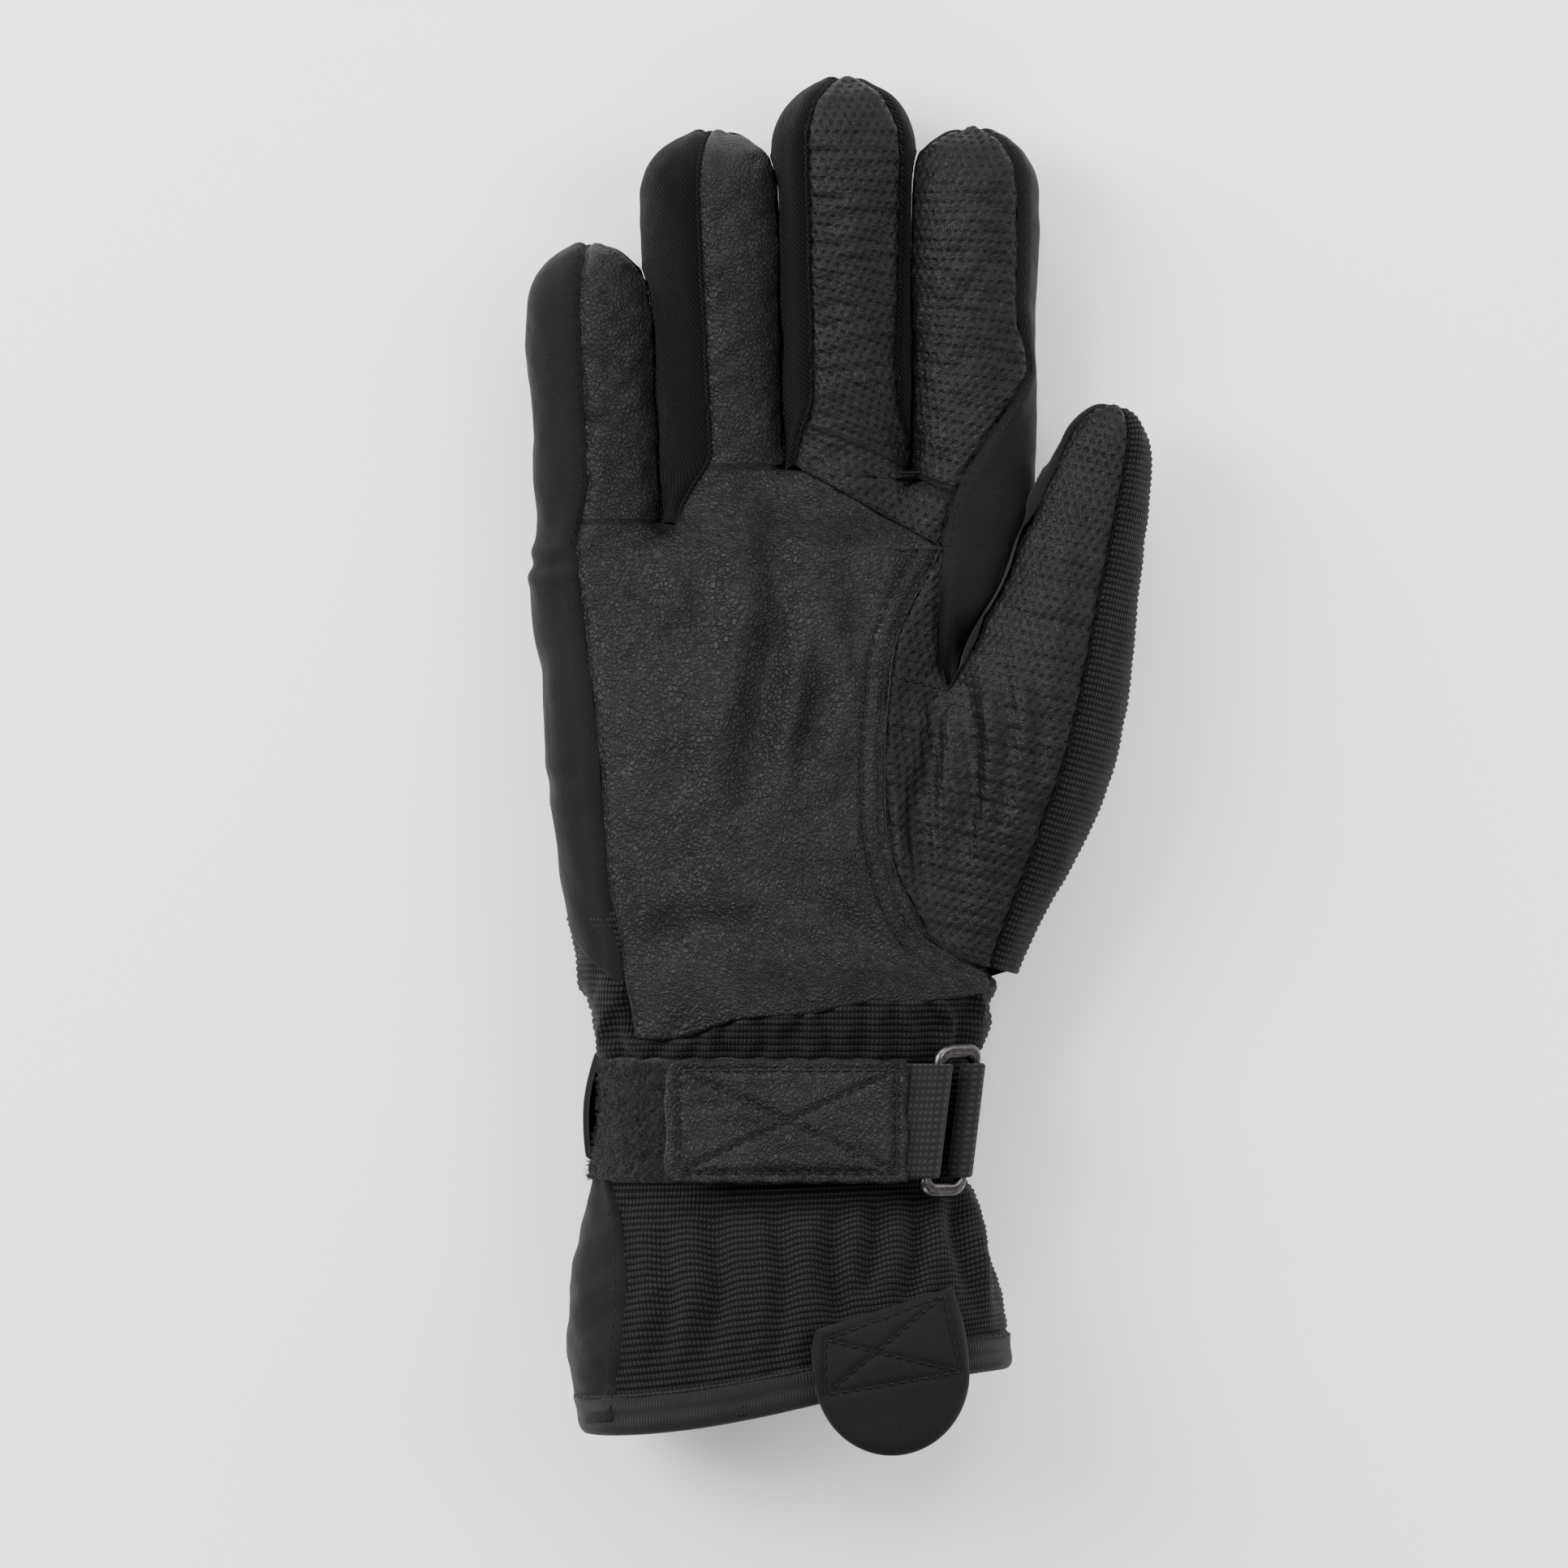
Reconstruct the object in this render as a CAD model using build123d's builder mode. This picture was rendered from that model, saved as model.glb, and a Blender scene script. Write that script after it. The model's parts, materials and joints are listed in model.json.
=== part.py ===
"""Right-hand ski glove, lying on its back with the palm up. Sizes are in millimetres.

+Y runs along the fingers, +X towards the thumb and +Z out of the palm. The back of the hand rests on z = 0.
Every wall has two layers: the outer shell panels, and an insulated lining inside them.
Each body ends in a round nose about its hinge, which turns inside the edge of the body before it.
"""

from build123d import *
import os
from collections import namedtuple
from math import cos, radians, sin

# ---- Layers and clearances ----
SHELL = 1.5  # leather, knit or softshell panel
LINING = 2.5  # insulation with its fleece face
WALL = SHELL + LINING
HINGE_GAP = 0.5  # between two bodies that turn against each other
FAR = 300  # longer than the glove, for cutting tools
SPECK = 5.0  # cubic millimetres

# ---- Hand, wrist and cuff: sections across the glove ----
Section = namedtuple("Section", "y left right bottom top")
SECTIONS = (
    Section(68, -64.0, 43.6, -1.2, 27.6),
    Section(44, -64.6, 35.0, -1.4, 32.0),
    Section(17, -64.0, 24.0, -1.4, 35.5),
    Section(-14, -61.0, 27.0, -1.4, 36.5),
    Section(-40, -56.5, 33.5, -1.4, 37.0),
    Section(-58, -50.5, 31.0, 1.0, 37.0),
    Section(-76, -48.5, 28.5, 2.5, 36.5),
    Section(-91, -50.5, 30.5, 1.8, 37.5),
    Section(-104, -54.5, 35.0, -0.5, 43.5),
    Section(-118, -57.0, 38.0, -1.4, 49.0),
    Section(-152, -57.5, 39.0, -1.4, 51.0),
)
CORNER_SHARE = 0.44  # corner radius of a section, as a share of its height
SEAM_Z = 16.0  # height of the side seams, between palm and back panels
HEM_X, HEM_Y, HEM_SLANT = -9, -137, 8.0  # the hem's middle, and its rise towards the thumb in degrees
BINDING_WIDTH = 6.5
BINDING_PROUD = 0.8
ELASTIC_START, ELASTIC_END, ELASTIC_THICK = -66, -58, 0.9

# ---- Panel seams, seen from above ----
ULNAR_SEAM = ((-56, 100), (-51, 0), (-47, -100))
GRIP_SEAM = (
    (-10.8, 70),
    (-9.5, 64.8),
    (22.8, 46.9),
    (13.2, 28.0),
    (10.6, 0.0),
    (13.2, -24.5),
    (21.0, -38.5),
    (34.0, -46.0),
)
CUFF_SEAM = ((-45.0, -20), (-46.5, -160))

# ---- Fingers: bodies of revolution about their own axes ----
Finger = namedtuple("Finger", "name root_x root_y lean radius length middle_joint")
FINGER_AXIS_Z = 13.9
ROOT_RADIUS = 12.7
FINGERS = (
    Finger("little", -51.2, 54.0, 2.5, 13.4, 58.5, 24.0),
    Finger("ring", -24.4, 60.0, 2.5, 13.6, 77.0, 29.0),
    Finger("middle", 2.6, 63.0, 0.5, 13.6, 85.4, 33.0),
    Finger("index", 29.8, 62.0, 0.0, 13.3, 75.4, 29.0),
)
NOSE_MARGIN = 0.4  # from a finger's radius to the radius of its hinge nose
RELIEF_DEPTH, RELIEF_HEIGHT = 0.9, 0.55  # of the palm-side notch, as shares of the nose radius
FACE_START, FACE_SWEEP = 40, 100  # palm face of a finger, in degrees about its axis
SIDE_SWEEP = 80  # each side wall of a finger

# ---- Thumb ----
THUMB_ROOT = Vector(33.0, -28.0, 21.5)
THUMB_LEAN = -15.2
THUMB_RADII = ((0, 13.0), (20, 16.4), (42, 16.6), (66, 13.3), (97.4, 9.9))
THUMB_LENGTH = 109.4
THUMB_TIP_JOINT = 74.0
THUMB_TIP_NOSE = 13.4
SWING_START = Vector(22.0, 20.9, 21.5)  # crotch between thumb and index finger
SWING_LINE = Vector(24.5, -48.0, 0).normalized()
SWING_LENGTH = 58.0
SWING_NOSE = 17.8

# ---- Wrist ----
WRIST_HINGE = Vector(0, -61.0, 19.0)
WRIST_NOSE = 20.5

# ---- Wrist strap ----
STRAP_Y = -77.0
STRAP_WIDTH = 25.0
STRAP_THICK = 1.3
LAYER_GAP = 0.2  # between fabric layers that lie on each other
LOOP_LEFT, LOOP_RIGHT, LOOP_THICK, LOOP_WIDTH = -54.0, 8.0, 1.6, 27.0
TAB_LEFT, TAB_RIGHT, TAB_THICK, TAB_WIDTH = -36.6, 15.4, 1.5, 26.6
TAB_CORNER = 3.2
HOOK_LEFT, HOOK_RIGHT, HOOK_THICK = -33.5, 2.0, 1.2
BAR_RADIUS = 1.1
BAR_X, BAR_Z = 21.6, 40.0  # the buckle bar that the strap end turns about
ANCHOR_X, ANCHOR_Z = 28.8, 33.9  # the buckle bar held by the anchor webbing
BUCKLE_LENGTH = 32.0
SLEEVE_INNER, SLEEVE_OUTER = 1.5, 2.8
ANCHOR_END_Z = 12.0  # lower end of the anchor webbing, on the side of the wrist

# ---- Pull tab at the hem ----
PULL_X = 12.1
PULL_WIDTH = 32.5
PULL_THICK = 3.0
PULL_LIFT = BINDING_PROUD + 0.2  # the tab clears the hem binding that it lies on
PULL_TOP_Y, PULL_HINGE_Y, PULL_END_Y = -113.0, -136.0, -148.4
PULL_Z = 52.6  # height of the middle plane of its free end
PULL_CORNER = 8.0
STITCH_WIDTH = 0.7
STITCH_PROUD = 0.5


def hand_solid(inset):
    """Hand, wrist and cuff as one closed solid, with every wall moved in by inset."""
    with BuildPart(mode=Mode.PRIVATE) as solid:
        for s in SECTIONS:
            width = s.right - s.left - 2 * inset
            height = s.top - s.bottom - 2 * inset
            centre = ((s.left + s.right) / 2, s.y, (s.top + s.bottom) / 2)
            with BuildSketch(Plane(origin=centre, x_dir=(1, 0, 0), z_dir=(0, 1, 0))):
                RectangleRounded(width, height, CORNER_SHARE * height)
        loft()
        split(bisect_by=Plane.XY.offset(max(inset, 0)), keep=Keep.TOP)
    return solid.part


def turned_plane(root, lean):
    """Plane through a finger's axis: x along the finger, z up."""
    angle = radians(lean)
    return Plane(origin=root, x_dir=(-sin(angle), cos(angle), 0), z_dir=(0, 0, 1))


def turned_solid(plane, radii, length, inset=0, start=0, sweep=360):
    """A round-tipped finger, or a sector of one, turned about the x axis of its plane."""
    angle = radians(start)
    turned = Plane(
        origin=plane.origin,
        x_dir=plane.x_dir,
        z_dir=plane.z_dir * cos(angle) - plane.y_dir * sin(angle),
    )
    sides = [(along, radius - inset) for along, radius in radii]
    tip_start, tip_radius = sides[-1]
    tip_end = length - inset
    with BuildPart(mode=Mode.PRIVATE) as solid:
        with BuildSketch(turned):
            with BuildLine():
                Spline(*sides)
                EllipticalCenterArc((tip_start, 0), tip_end - tip_start, tip_radius, start_angle=0, arc_size=90)
                Polyline((tip_end, 0), (sides[0][0], 0), sides[0])
            make_face()
        revolve(axis=Axis(turned.origin, turned.x_dir), revolution_arc=sweep)
    return solid.part


def beyond(hinge, nose, relief=False, length=FAR):
    """All that lies past a hinge, with a round nose about its axis.

    The hinge plane's x points past the hinge, its y to the palm and its z along the axis.
    """
    with BuildPart(mode=Mode.PRIVATE) as tool:
        with BuildSketch(hinge.offset(-length / 2)):
            Circle(nose)
            with Locations((FAR / 2, 0)):
                Rectangle(FAR, 2 * FAR)
            if relief:
                depth = RELIEF_DEPTH * nose
                with Locations((-depth / 2, RELIEF_HEIGHT * nose + FAR / 2)):
                    Rectangle(depth, FAR)
        extrude(amount=length)
    return tool.part


def column(points, bottom=-20, top=80):
    """An upright block with the outline that the points make, seen from above."""
    with BuildPart(mode=Mode.PRIVATE) as block:
        with BuildSketch(Plane.XY.offset(bottom)):
            with BuildLine():
                Polyline(*points, close=True)
            make_face()
        extrude(amount=top - bottom)
    return block.part


def block(x0, x1, y0, y1, z0, z1):
    """A block between two corners."""
    return column(((x0, y0), (x1, y0), (x1, y1), (x0, y1)), z0, z1)


def write(piece, name):
    """Labels a finished piece and writes its STEP file, without any speck that a cut left over."""
    solids = [solid for solid in piece.solids() if solid.volume > SPECK]
    kept = piece if len(solids) == len(piece.solids()) else Part() + solids
    kept.label = name
    export_step(kept, f"parts/{name}.step")


os.makedirs("parts", exist_ok=True)

# ---- Hinge planes ----
thumb_plane = turned_plane(THUMB_ROOT, THUMB_LEAN)
swing_outward = Vector(-SWING_LINE.Y, SWING_LINE.X, 0)
swing_middle = SWING_START + SWING_LINE * (SWING_LENGTH / 2)
swing_hinge = Plane(origin=swing_middle, x_dir=swing_outward, z_dir=SWING_LINE)
thumb_tip_hinge = Plane(
    origin=thumb_plane.from_local_coords((THUMB_TIP_JOINT, 0, 0)),
    x_dir=thumb_plane.x_dir,
    z_dir=-thumb_plane.y_dir,
)
wrist_hinge = Plane(origin=WRIST_HINGE, x_dir=(0, -1, 0), z_dir=(-1, 0, 0))


def finger_hinge(finger, along):
    """Hinge across a finger, at a distance along it from its root."""
    x = finger.root_x - along * sin(radians(finger.lean))
    y = finger.root_y + along * cos(radians(finger.lean))
    return Plane(origin=(x, y, FINGER_AXIS_Z), x_dir=(0, 1, 0), z_dir=(1, 0, 0))


# ---- Fingers: palm face, side walls, back and lining, in two lengths each ----
def finger_pieces(finger):
    """Sectors of one finger's whole length, named by what they are."""
    plane = turned_plane((finger.root_x, finger.root_y, FINGER_AXIS_Z), finger.lean)
    radii = ((-16, ROOT_RADIUS), (finger.length - finger.radius, finger.radius))
    core = turned_solid(plane, radii, finger.length, SHELL)
    hollow = turned_solid(plane, radii, finger.length, WALL)
    far_side = FACE_START + FACE_SWEEP
    sectors = {
        "face": turned_solid(plane, radii, finger.length, 0, FACE_START, FACE_SWEEP),
        "back": turned_solid(plane, radii, finger.length, 0, far_side + SIDE_SWEEP, FACE_SWEEP),
    }
    near_wall = turned_solid(plane, radii, finger.length, 0, FACE_START - SIDE_SWEEP, SIDE_SWEEP)
    far_wall = turned_solid(plane, radii, finger.length, 0, far_side, SIDE_SWEEP)
    pieces = {name: sector - core for name, sector in sectors.items()}
    pieces["sides"] = Part() + (near_wall - core) + (far_wall - core)
    pieces["lining"] = core - hollow
    return pieces


for finger in FINGERS:
    knuckle_nose = ROOT_RADIUS + NOSE_MARGIN
    middle_nose = finger.radius + NOSE_MARGIN
    middle_hinge = finger_hinge(finger, finger.middle_joint)
    past_knuckle = beyond(finger_hinge(finger, 0), knuckle_nose)
    past_middle = beyond(middle_hinge, middle_nose)
    past_middle_gap = beyond(middle_hinge, middle_nose + HINGE_GAP, relief=True)
    for kind, whole in finger_pieces(finger).items():
        with BuildPart() as lower:
            add(whole)
            add(past_knuckle, mode=Mode.INTERSECT)
            add(past_middle_gap, mode=Mode.SUBTRACT)
        write(lower.part, f"{finger.name}_lower_{kind}")
        with BuildPart() as upper:
            add(whole)
            add(past_middle, mode=Mode.INTERSECT)
        write(upper.part, f"{finger.name}_upper_{kind}")


# ---- Thumb: leather face, gusset towards the index finger, back and lining ----
THUMB_FACE, THUMB_GUSSET, THUMB_BACK = (30, 120), (-50, 80), ((150, 80), (230, 80))
THUMB_LOWER = {"face": (THUMB_FACE,), "gusset": (THUMB_GUSSET,), "back": THUMB_BACK}
THUMB_UPPER = {"face": (THUMB_FACE,), "back": (THUMB_GUSSET, *THUMB_BACK)}
thumb_core = turned_solid(thumb_plane, THUMB_RADII, THUMB_LENGTH, SHELL)
thumb_hollow = turned_solid(thumb_plane, THUMB_RADII, THUMB_LENGTH, WALL)
hand_outside = hand_solid(0)
hand_core = hand_solid(SHELL)
hand_hollow = hand_solid(WALL)
past_swing = beyond(swing_hinge, SWING_NOSE)
past_thumb_tip = beyond(thumb_tip_hinge, THUMB_TIP_NOSE)
past_thumb_tip_gap = beyond(thumb_tip_hinge, THUMB_TIP_NOSE + HINGE_GAP, relief=True)


def thumb_panel(sector):
    """One panel of the thumb's shell, over its whole length."""
    return turned_solid(thumb_plane, THUMB_RADII, THUMB_LENGTH, 0, *sector) - thumb_core


for kind, sectors in THUMB_LOWER.items():
    panels = [thumb_panel(sector) for sector in sectors]
    with BuildPart() as lower:
        add(panels)
        add(hand_core, mode=Mode.SUBTRACT)
        add(past_swing, mode=Mode.INTERSECT)
        add(past_thumb_tip_gap, mode=Mode.SUBTRACT)
    write(lower.part, f"thumb_lower_{kind}")

for kind, sectors in THUMB_UPPER.items():
    panels = [thumb_panel(sector) for sector in sectors]
    with BuildPart() as upper:
        add(panels)
        add(past_thumb_tip, mode=Mode.INTERSECT)
    write(upper.part, f"thumb_upper_{kind}")

with BuildPart() as thumb_lower_lining:
    add(thumb_core)
    add(thumb_hollow, mode=Mode.SUBTRACT)
    add(hand_hollow, mode=Mode.SUBTRACT)
    add(past_swing, mode=Mode.INTERSECT)
    add(past_thumb_tip_gap, mode=Mode.SUBTRACT)
write(thumb_lower_lining.part, "thumb_lower_lining")

with BuildPart() as thumb_upper_lining:
    add(thumb_core)
    add(thumb_hollow, mode=Mode.SUBTRACT)
    add(past_thumb_tip, mode=Mode.INTERSECT)
write(thumb_upper_lining.part, "thumb_upper_lining")

# ---- Hand: everything that the fingers, the thumb and the cuff leave of it ----
hand_cutters = [
    beyond(wrist_hinge, WRIST_NOSE + HINGE_GAP),
    beyond(swing_hinge, SWING_NOSE + HINGE_GAP, length=SWING_LENGTH),
    turned_solid(thumb_plane, THUMB_RADII, THUMB_LENGTH, -HINGE_GAP),
]
borders = [-FAR] + [(a.root_x + b.root_x) / 2 for a, b in zip(FINGERS, FINGERS[1:])] + [FAR]
for finger, left, right in zip(FINGERS, borders, borders[1:]):
    across = Plane(origin=((left + right) / 2, finger.root_y, FINGER_AXIS_Z), x_dir=(0, 1, 0), z_dir=(1, 0, 0))
    nose = ROOT_RADIUS + NOSE_MARGIN + HINGE_GAP
    hand_cutters.append(beyond(across, nose, relief=True, length=right - left))

past_elastic = block(-FAR, FAR, ELASTIC_START, ELASTIC_END, -FAR, FAR)
palm_side = block(-FAR, FAR, -FAR, FAR, SEAM_Z, FAR)
little_side = column(((-FAR, 100), *ULNAR_SEAM, (-FAR, -100)))
thumb_side = column((*GRIP_SEAM, (FAR, -50), (FAR, 70)))

with BuildPart() as hand_shell:
    add(hand_outside)
    add(hand_core, mode=Mode.SUBTRACT)
    for cutter in hand_cutters:
        add(cutter, mode=Mode.SUBTRACT)

with BuildPart() as palm_leather:
    add(hand_shell.part)
    add(palm_side, mode=Mode.INTERSECT)
    add(little_side, mode=Mode.SUBTRACT)
    add(thumb_side, mode=Mode.SUBTRACT)
write(palm_leather.part, "palm_leather")

with BuildPart() as grip_patch:
    add(hand_shell.part)
    add(palm_side, mode=Mode.INTERSECT)
    add(thumb_side, mode=Mode.INTERSECT)
write(grip_patch.part, "grip_patch")

with BuildPart() as side_panel:
    add(hand_shell.part)
    add(palm_side, mode=Mode.INTERSECT)
    add(little_side, mode=Mode.INTERSECT)
write(side_panel.part, "side_panel")

with BuildPart() as back_shell:
    add(hand_shell.part)
    add(palm_side, mode=Mode.SUBTRACT)
write(back_shell.part, "back_shell")

with BuildPart() as hand_lining:
    add(hand_core)
    add(hand_hollow, mode=Mode.SUBTRACT)
    for cutter in hand_cutters:
        add(cutter, mode=Mode.SUBTRACT)
write(hand_lining.part, "hand_lining")

with BuildPart() as grip_stitching:
    with BuildSketch(Plane.XY):
        with BuildLine():
            Polyline(*GRIP_SEAM[1:-1])
            offset(amount=STITCH_WIDTH / 2, side=Side.BOTH)
        make_face()
    extrude(amount=FAR)
    add(hand_solid(-STITCH_PROUD), mode=Mode.INTERSECT)
    add(hand_outside, mode=Mode.SUBTRACT)
    for cutter in hand_cutters:
        add(cutter, mode=Mode.SUBTRACT)
write(grip_stitching.part, "grip_stitching")


# ---- Cuff ----
def past_hem(rise):
    """All that lies past the slanting hem, moved up the cuff by rise."""
    slope = sin(radians(HEM_SLANT)) / cos(radians(HEM_SLANT))
    left = HEM_Y + rise + (-FAR - HEM_X) * slope
    right = HEM_Y + rise + (FAR - HEM_X) * slope
    return column(((-FAR, left), (FAR, right), (FAR, -2 * FAR), (-FAR, -2 * FAR)))


past_wrist = beyond(wrist_hinge, WRIST_NOSE)
past_binding = past_hem(BINDING_WIDTH)
cuff_left = column(((-FAR, 100), (CUFF_SEAM[0][0], 100), *CUFF_SEAM, (-FAR, -160)))

with BuildPart() as cuff_shell:
    add(hand_outside)
    add(hand_core, mode=Mode.SUBTRACT)
    add(past_wrist, mode=Mode.INTERSECT)
    add(past_binding, mode=Mode.SUBTRACT)

with BuildPart() as cuff_knit:
    add(cuff_shell.part)
    add(palm_side, mode=Mode.INTERSECT)
    add(cuff_left, mode=Mode.SUBTRACT)
write(cuff_knit.part, "cuff_knit")

with BuildPart() as cuff_side_panel:
    add(cuff_shell.part)
    add(palm_side, mode=Mode.INTERSECT)
    add(cuff_left, mode=Mode.INTERSECT)
write(cuff_side_panel.part, "cuff_side_panel")

with BuildPart() as cuff_back:
    add(cuff_shell.part)
    add(palm_side, mode=Mode.SUBTRACT)
write(cuff_back.part, "cuff_back")

with BuildPart() as wrist_elastic:
    add(hand_core)
    add(hand_solid(SHELL + ELASTIC_THICK), mode=Mode.SUBTRACT)
    add(past_elastic, mode=Mode.INTERSECT)
    add(past_wrist, mode=Mode.INTERSECT)
write(wrist_elastic.part, "wrist_elastic")

with BuildPart() as cuff_lining:
    add(hand_core)
    add(hand_hollow, mode=Mode.SUBTRACT)
    add(past_wrist, mode=Mode.INTERSECT)
    add(past_binding, mode=Mode.SUBTRACT)
    add(wrist_elastic.part, mode=Mode.SUBTRACT)
write(cuff_lining.part, "cuff_lining")

with BuildPart() as hem_binding:
    add(hand_solid(-BINDING_PROUD))
    add(hand_hollow, mode=Mode.SUBTRACT)
    add(past_binding, mode=Mode.INTERSECT)
    add(past_hem(0), mode=Mode.SUBTRACT)
write(hem_binding.part, "hem_binding")


# ---- Wrist strap ----
def outer_layer(lift, thick, area):
    """A layer of fabric that lies on the glove inside an area, lifted off the shell."""
    top, bottom = hand_solid(-lift - thick), hand_solid(-lift)
    with BuildPart() as layer:
        add(top)
        add(bottom, mode=Mode.SUBTRACT)
        add(area, mode=Mode.INTERSECT)
    return layer.part


def strap_band(x0, x1, z0, z1, width):
    """The part of the wrist strap's band between two corners."""
    return block(x0, x1, STRAP_Y - width / 2, STRAP_Y + width / 2, z0, z1)


loop_area = strap_band(LOOP_LEFT, LOOP_RIGHT, SEAM_Z, FAR, LOOP_WIDTH)
write(outer_layer(LAYER_GAP, LOOP_THICK, loop_area), "loop_panel")

left_half = strap_band(-FAR, 0, -FAR, SEAM_Z - LAYER_GAP, STRAP_WIDTH)
right_half = strap_band(0, FAR, -FAR, ANCHOR_END_Z, STRAP_WIDTH)
write(outer_layer(LAYER_GAP, STRAP_THICK, left_half + right_half), "strap_back")


def sleeve(x, z):
    """The end of a strap, sewn into a sleeve around a buckle bar."""
    with BuildPart(mode=Mode.PRIVATE) as tube:
        with BuildSketch(Plane.XZ.offset(-STRAP_Y - STRAP_WIDTH / 2)):
            with Locations((x, z)):
                Circle(SLEEVE_OUTER)
                Circle(SLEEVE_INNER, mode=Mode.SUBTRACT)
        extrude(amount=STRAP_WIDTH)
    return tube.part


anchor_area = strap_band(10, FAR, ANCHOR_END_Z + LAYER_GAP, ANCHOR_Z - SLEEVE_INNER, STRAP_WIDTH)
anchor_tail = outer_layer(LAYER_GAP, STRAP_THICK, anchor_area)
with BuildPart() as anchor_webbing:
    add(anchor_tail)
    add(sleeve(ANCHOR_X, ANCHOR_Z))
    with Locations(Plane(origin=(ANCHOR_X, STRAP_Y, ANCHOR_Z), z_dir=(0, 1, 0))):
        Cylinder(SLEEVE_INNER, FAR, mode=Mode.SUBTRACT)
write(anchor_webbing.part, "anchor_webbing")

bar_line = Vector(ANCHOR_X - BAR_X, 0, ANCHOR_Z - BAR_Z)
buckle_plane = Plane(
    origin=((BAR_X + ANCHOR_X) / 2, STRAP_Y, (BAR_Z + ANCHOR_Z) / 2),
    x_dir=bar_line,
    z_dir=bar_line.cross(Vector(0, 1, 0)),
)
with BuildPart() as buckle:
    with BuildSketch(buckle_plane):
        Rectangle(bar_line.length + 2 * BAR_RADIUS, BUCKLE_LENGTH)
        Rectangle(bar_line.length - 2 * BAR_RADIUS, BUCKLE_LENGTH - 4 * BAR_RADIUS, mode=Mode.SUBTRACT)
    extrude(amount=BAR_RADIUS, both=True)
    fillet(buckle.edges(), radius=0.6 * BAR_RADIUS)
write(buckle.part, "buckle")

webbing_z = BAR_Z + SLEEVE_INNER
with BuildPart() as strap_webbing:
    add(sleeve(BAR_X, BAR_Z))
    add(strap_band(HOOK_LEFT, BAR_X, webbing_z, BAR_Z + SLEEVE_OUTER, STRAP_WIDTH))
write(strap_webbing.part, "strap_webbing")

with BuildPart() as strap_tab:
    with BuildSketch(Plane.XY.offset(BAR_Z + SLEEVE_OUTER + LAYER_GAP / 2)):
        with Locations(((TAB_LEFT + TAB_RIGHT) / 2, STRAP_Y)):
            Rectangle(TAB_RIGHT - TAB_LEFT, TAB_WIDTH)
    extrude(amount=TAB_THICK)
    fillet(strap_tab.edges().filter_by(Axis.Z).group_by(Axis.X)[0], radius=TAB_CORNER)
write(strap_tab.part, "strap_tab")

with BuildPart() as hook_patch:
    with BuildSketch(Plane.XY.offset(webbing_z - LAYER_GAP / 2)):
        with Locations(((HOOK_LEFT + HOOK_RIGHT) / 2, STRAP_Y)):
            Rectangle(HOOK_RIGHT - HOOK_LEFT, STRAP_WIDTH)
    extrude(amount=-HOOK_THICK)
write(hook_patch.part, "hook_patch")

# ---- Pull tab ----
pull_left, pull_right = PULL_X - PULL_WIDTH / 2, PULL_X + PULL_WIDTH / 2
pull_nose = PULL_THICK / 2
pull_area = block(pull_left, pull_right, PULL_HINGE_Y + pull_nose + HINGE_GAP, PULL_TOP_Y, SEAM_Z, FAR)
write(outer_layer(PULL_LIFT, PULL_THICK, pull_area), "pull_tab_base")

with BuildPart() as pull_tab_end:
    with BuildSketch(Plane.XY.offset(PULL_Z - PULL_THICK / 2)):
        with Locations((PULL_X, (PULL_HINGE_Y + pull_nose + PULL_END_Y) / 2)):
            Rectangle(PULL_WIDTH, PULL_HINGE_Y + pull_nose - PULL_END_Y)
    extrude(amount=PULL_THICK)
    fillet(pull_tab_end.edges().filter_by(Axis.Z).group_by(Axis.Y)[0], radius=PULL_CORNER)
    fillet(pull_tab_end.edges().filter_by(Axis.X).group_by(Axis.Y)[-1], radius=0.98 * pull_nose)
write(pull_tab_end.part, "pull_tab_end")
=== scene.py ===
"""A right-hand ski glove lying on its back: fabric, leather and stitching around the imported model.

The glove's outer surface is a distance field made of a hand, four fingers and a thumb. Each panel is a
grid of rays cast out to that surface, so that seams run along the edges of the grids. Lengths here are in
millimetres, in the frame of the model, and become metres when a mesh is written.
"""

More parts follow.
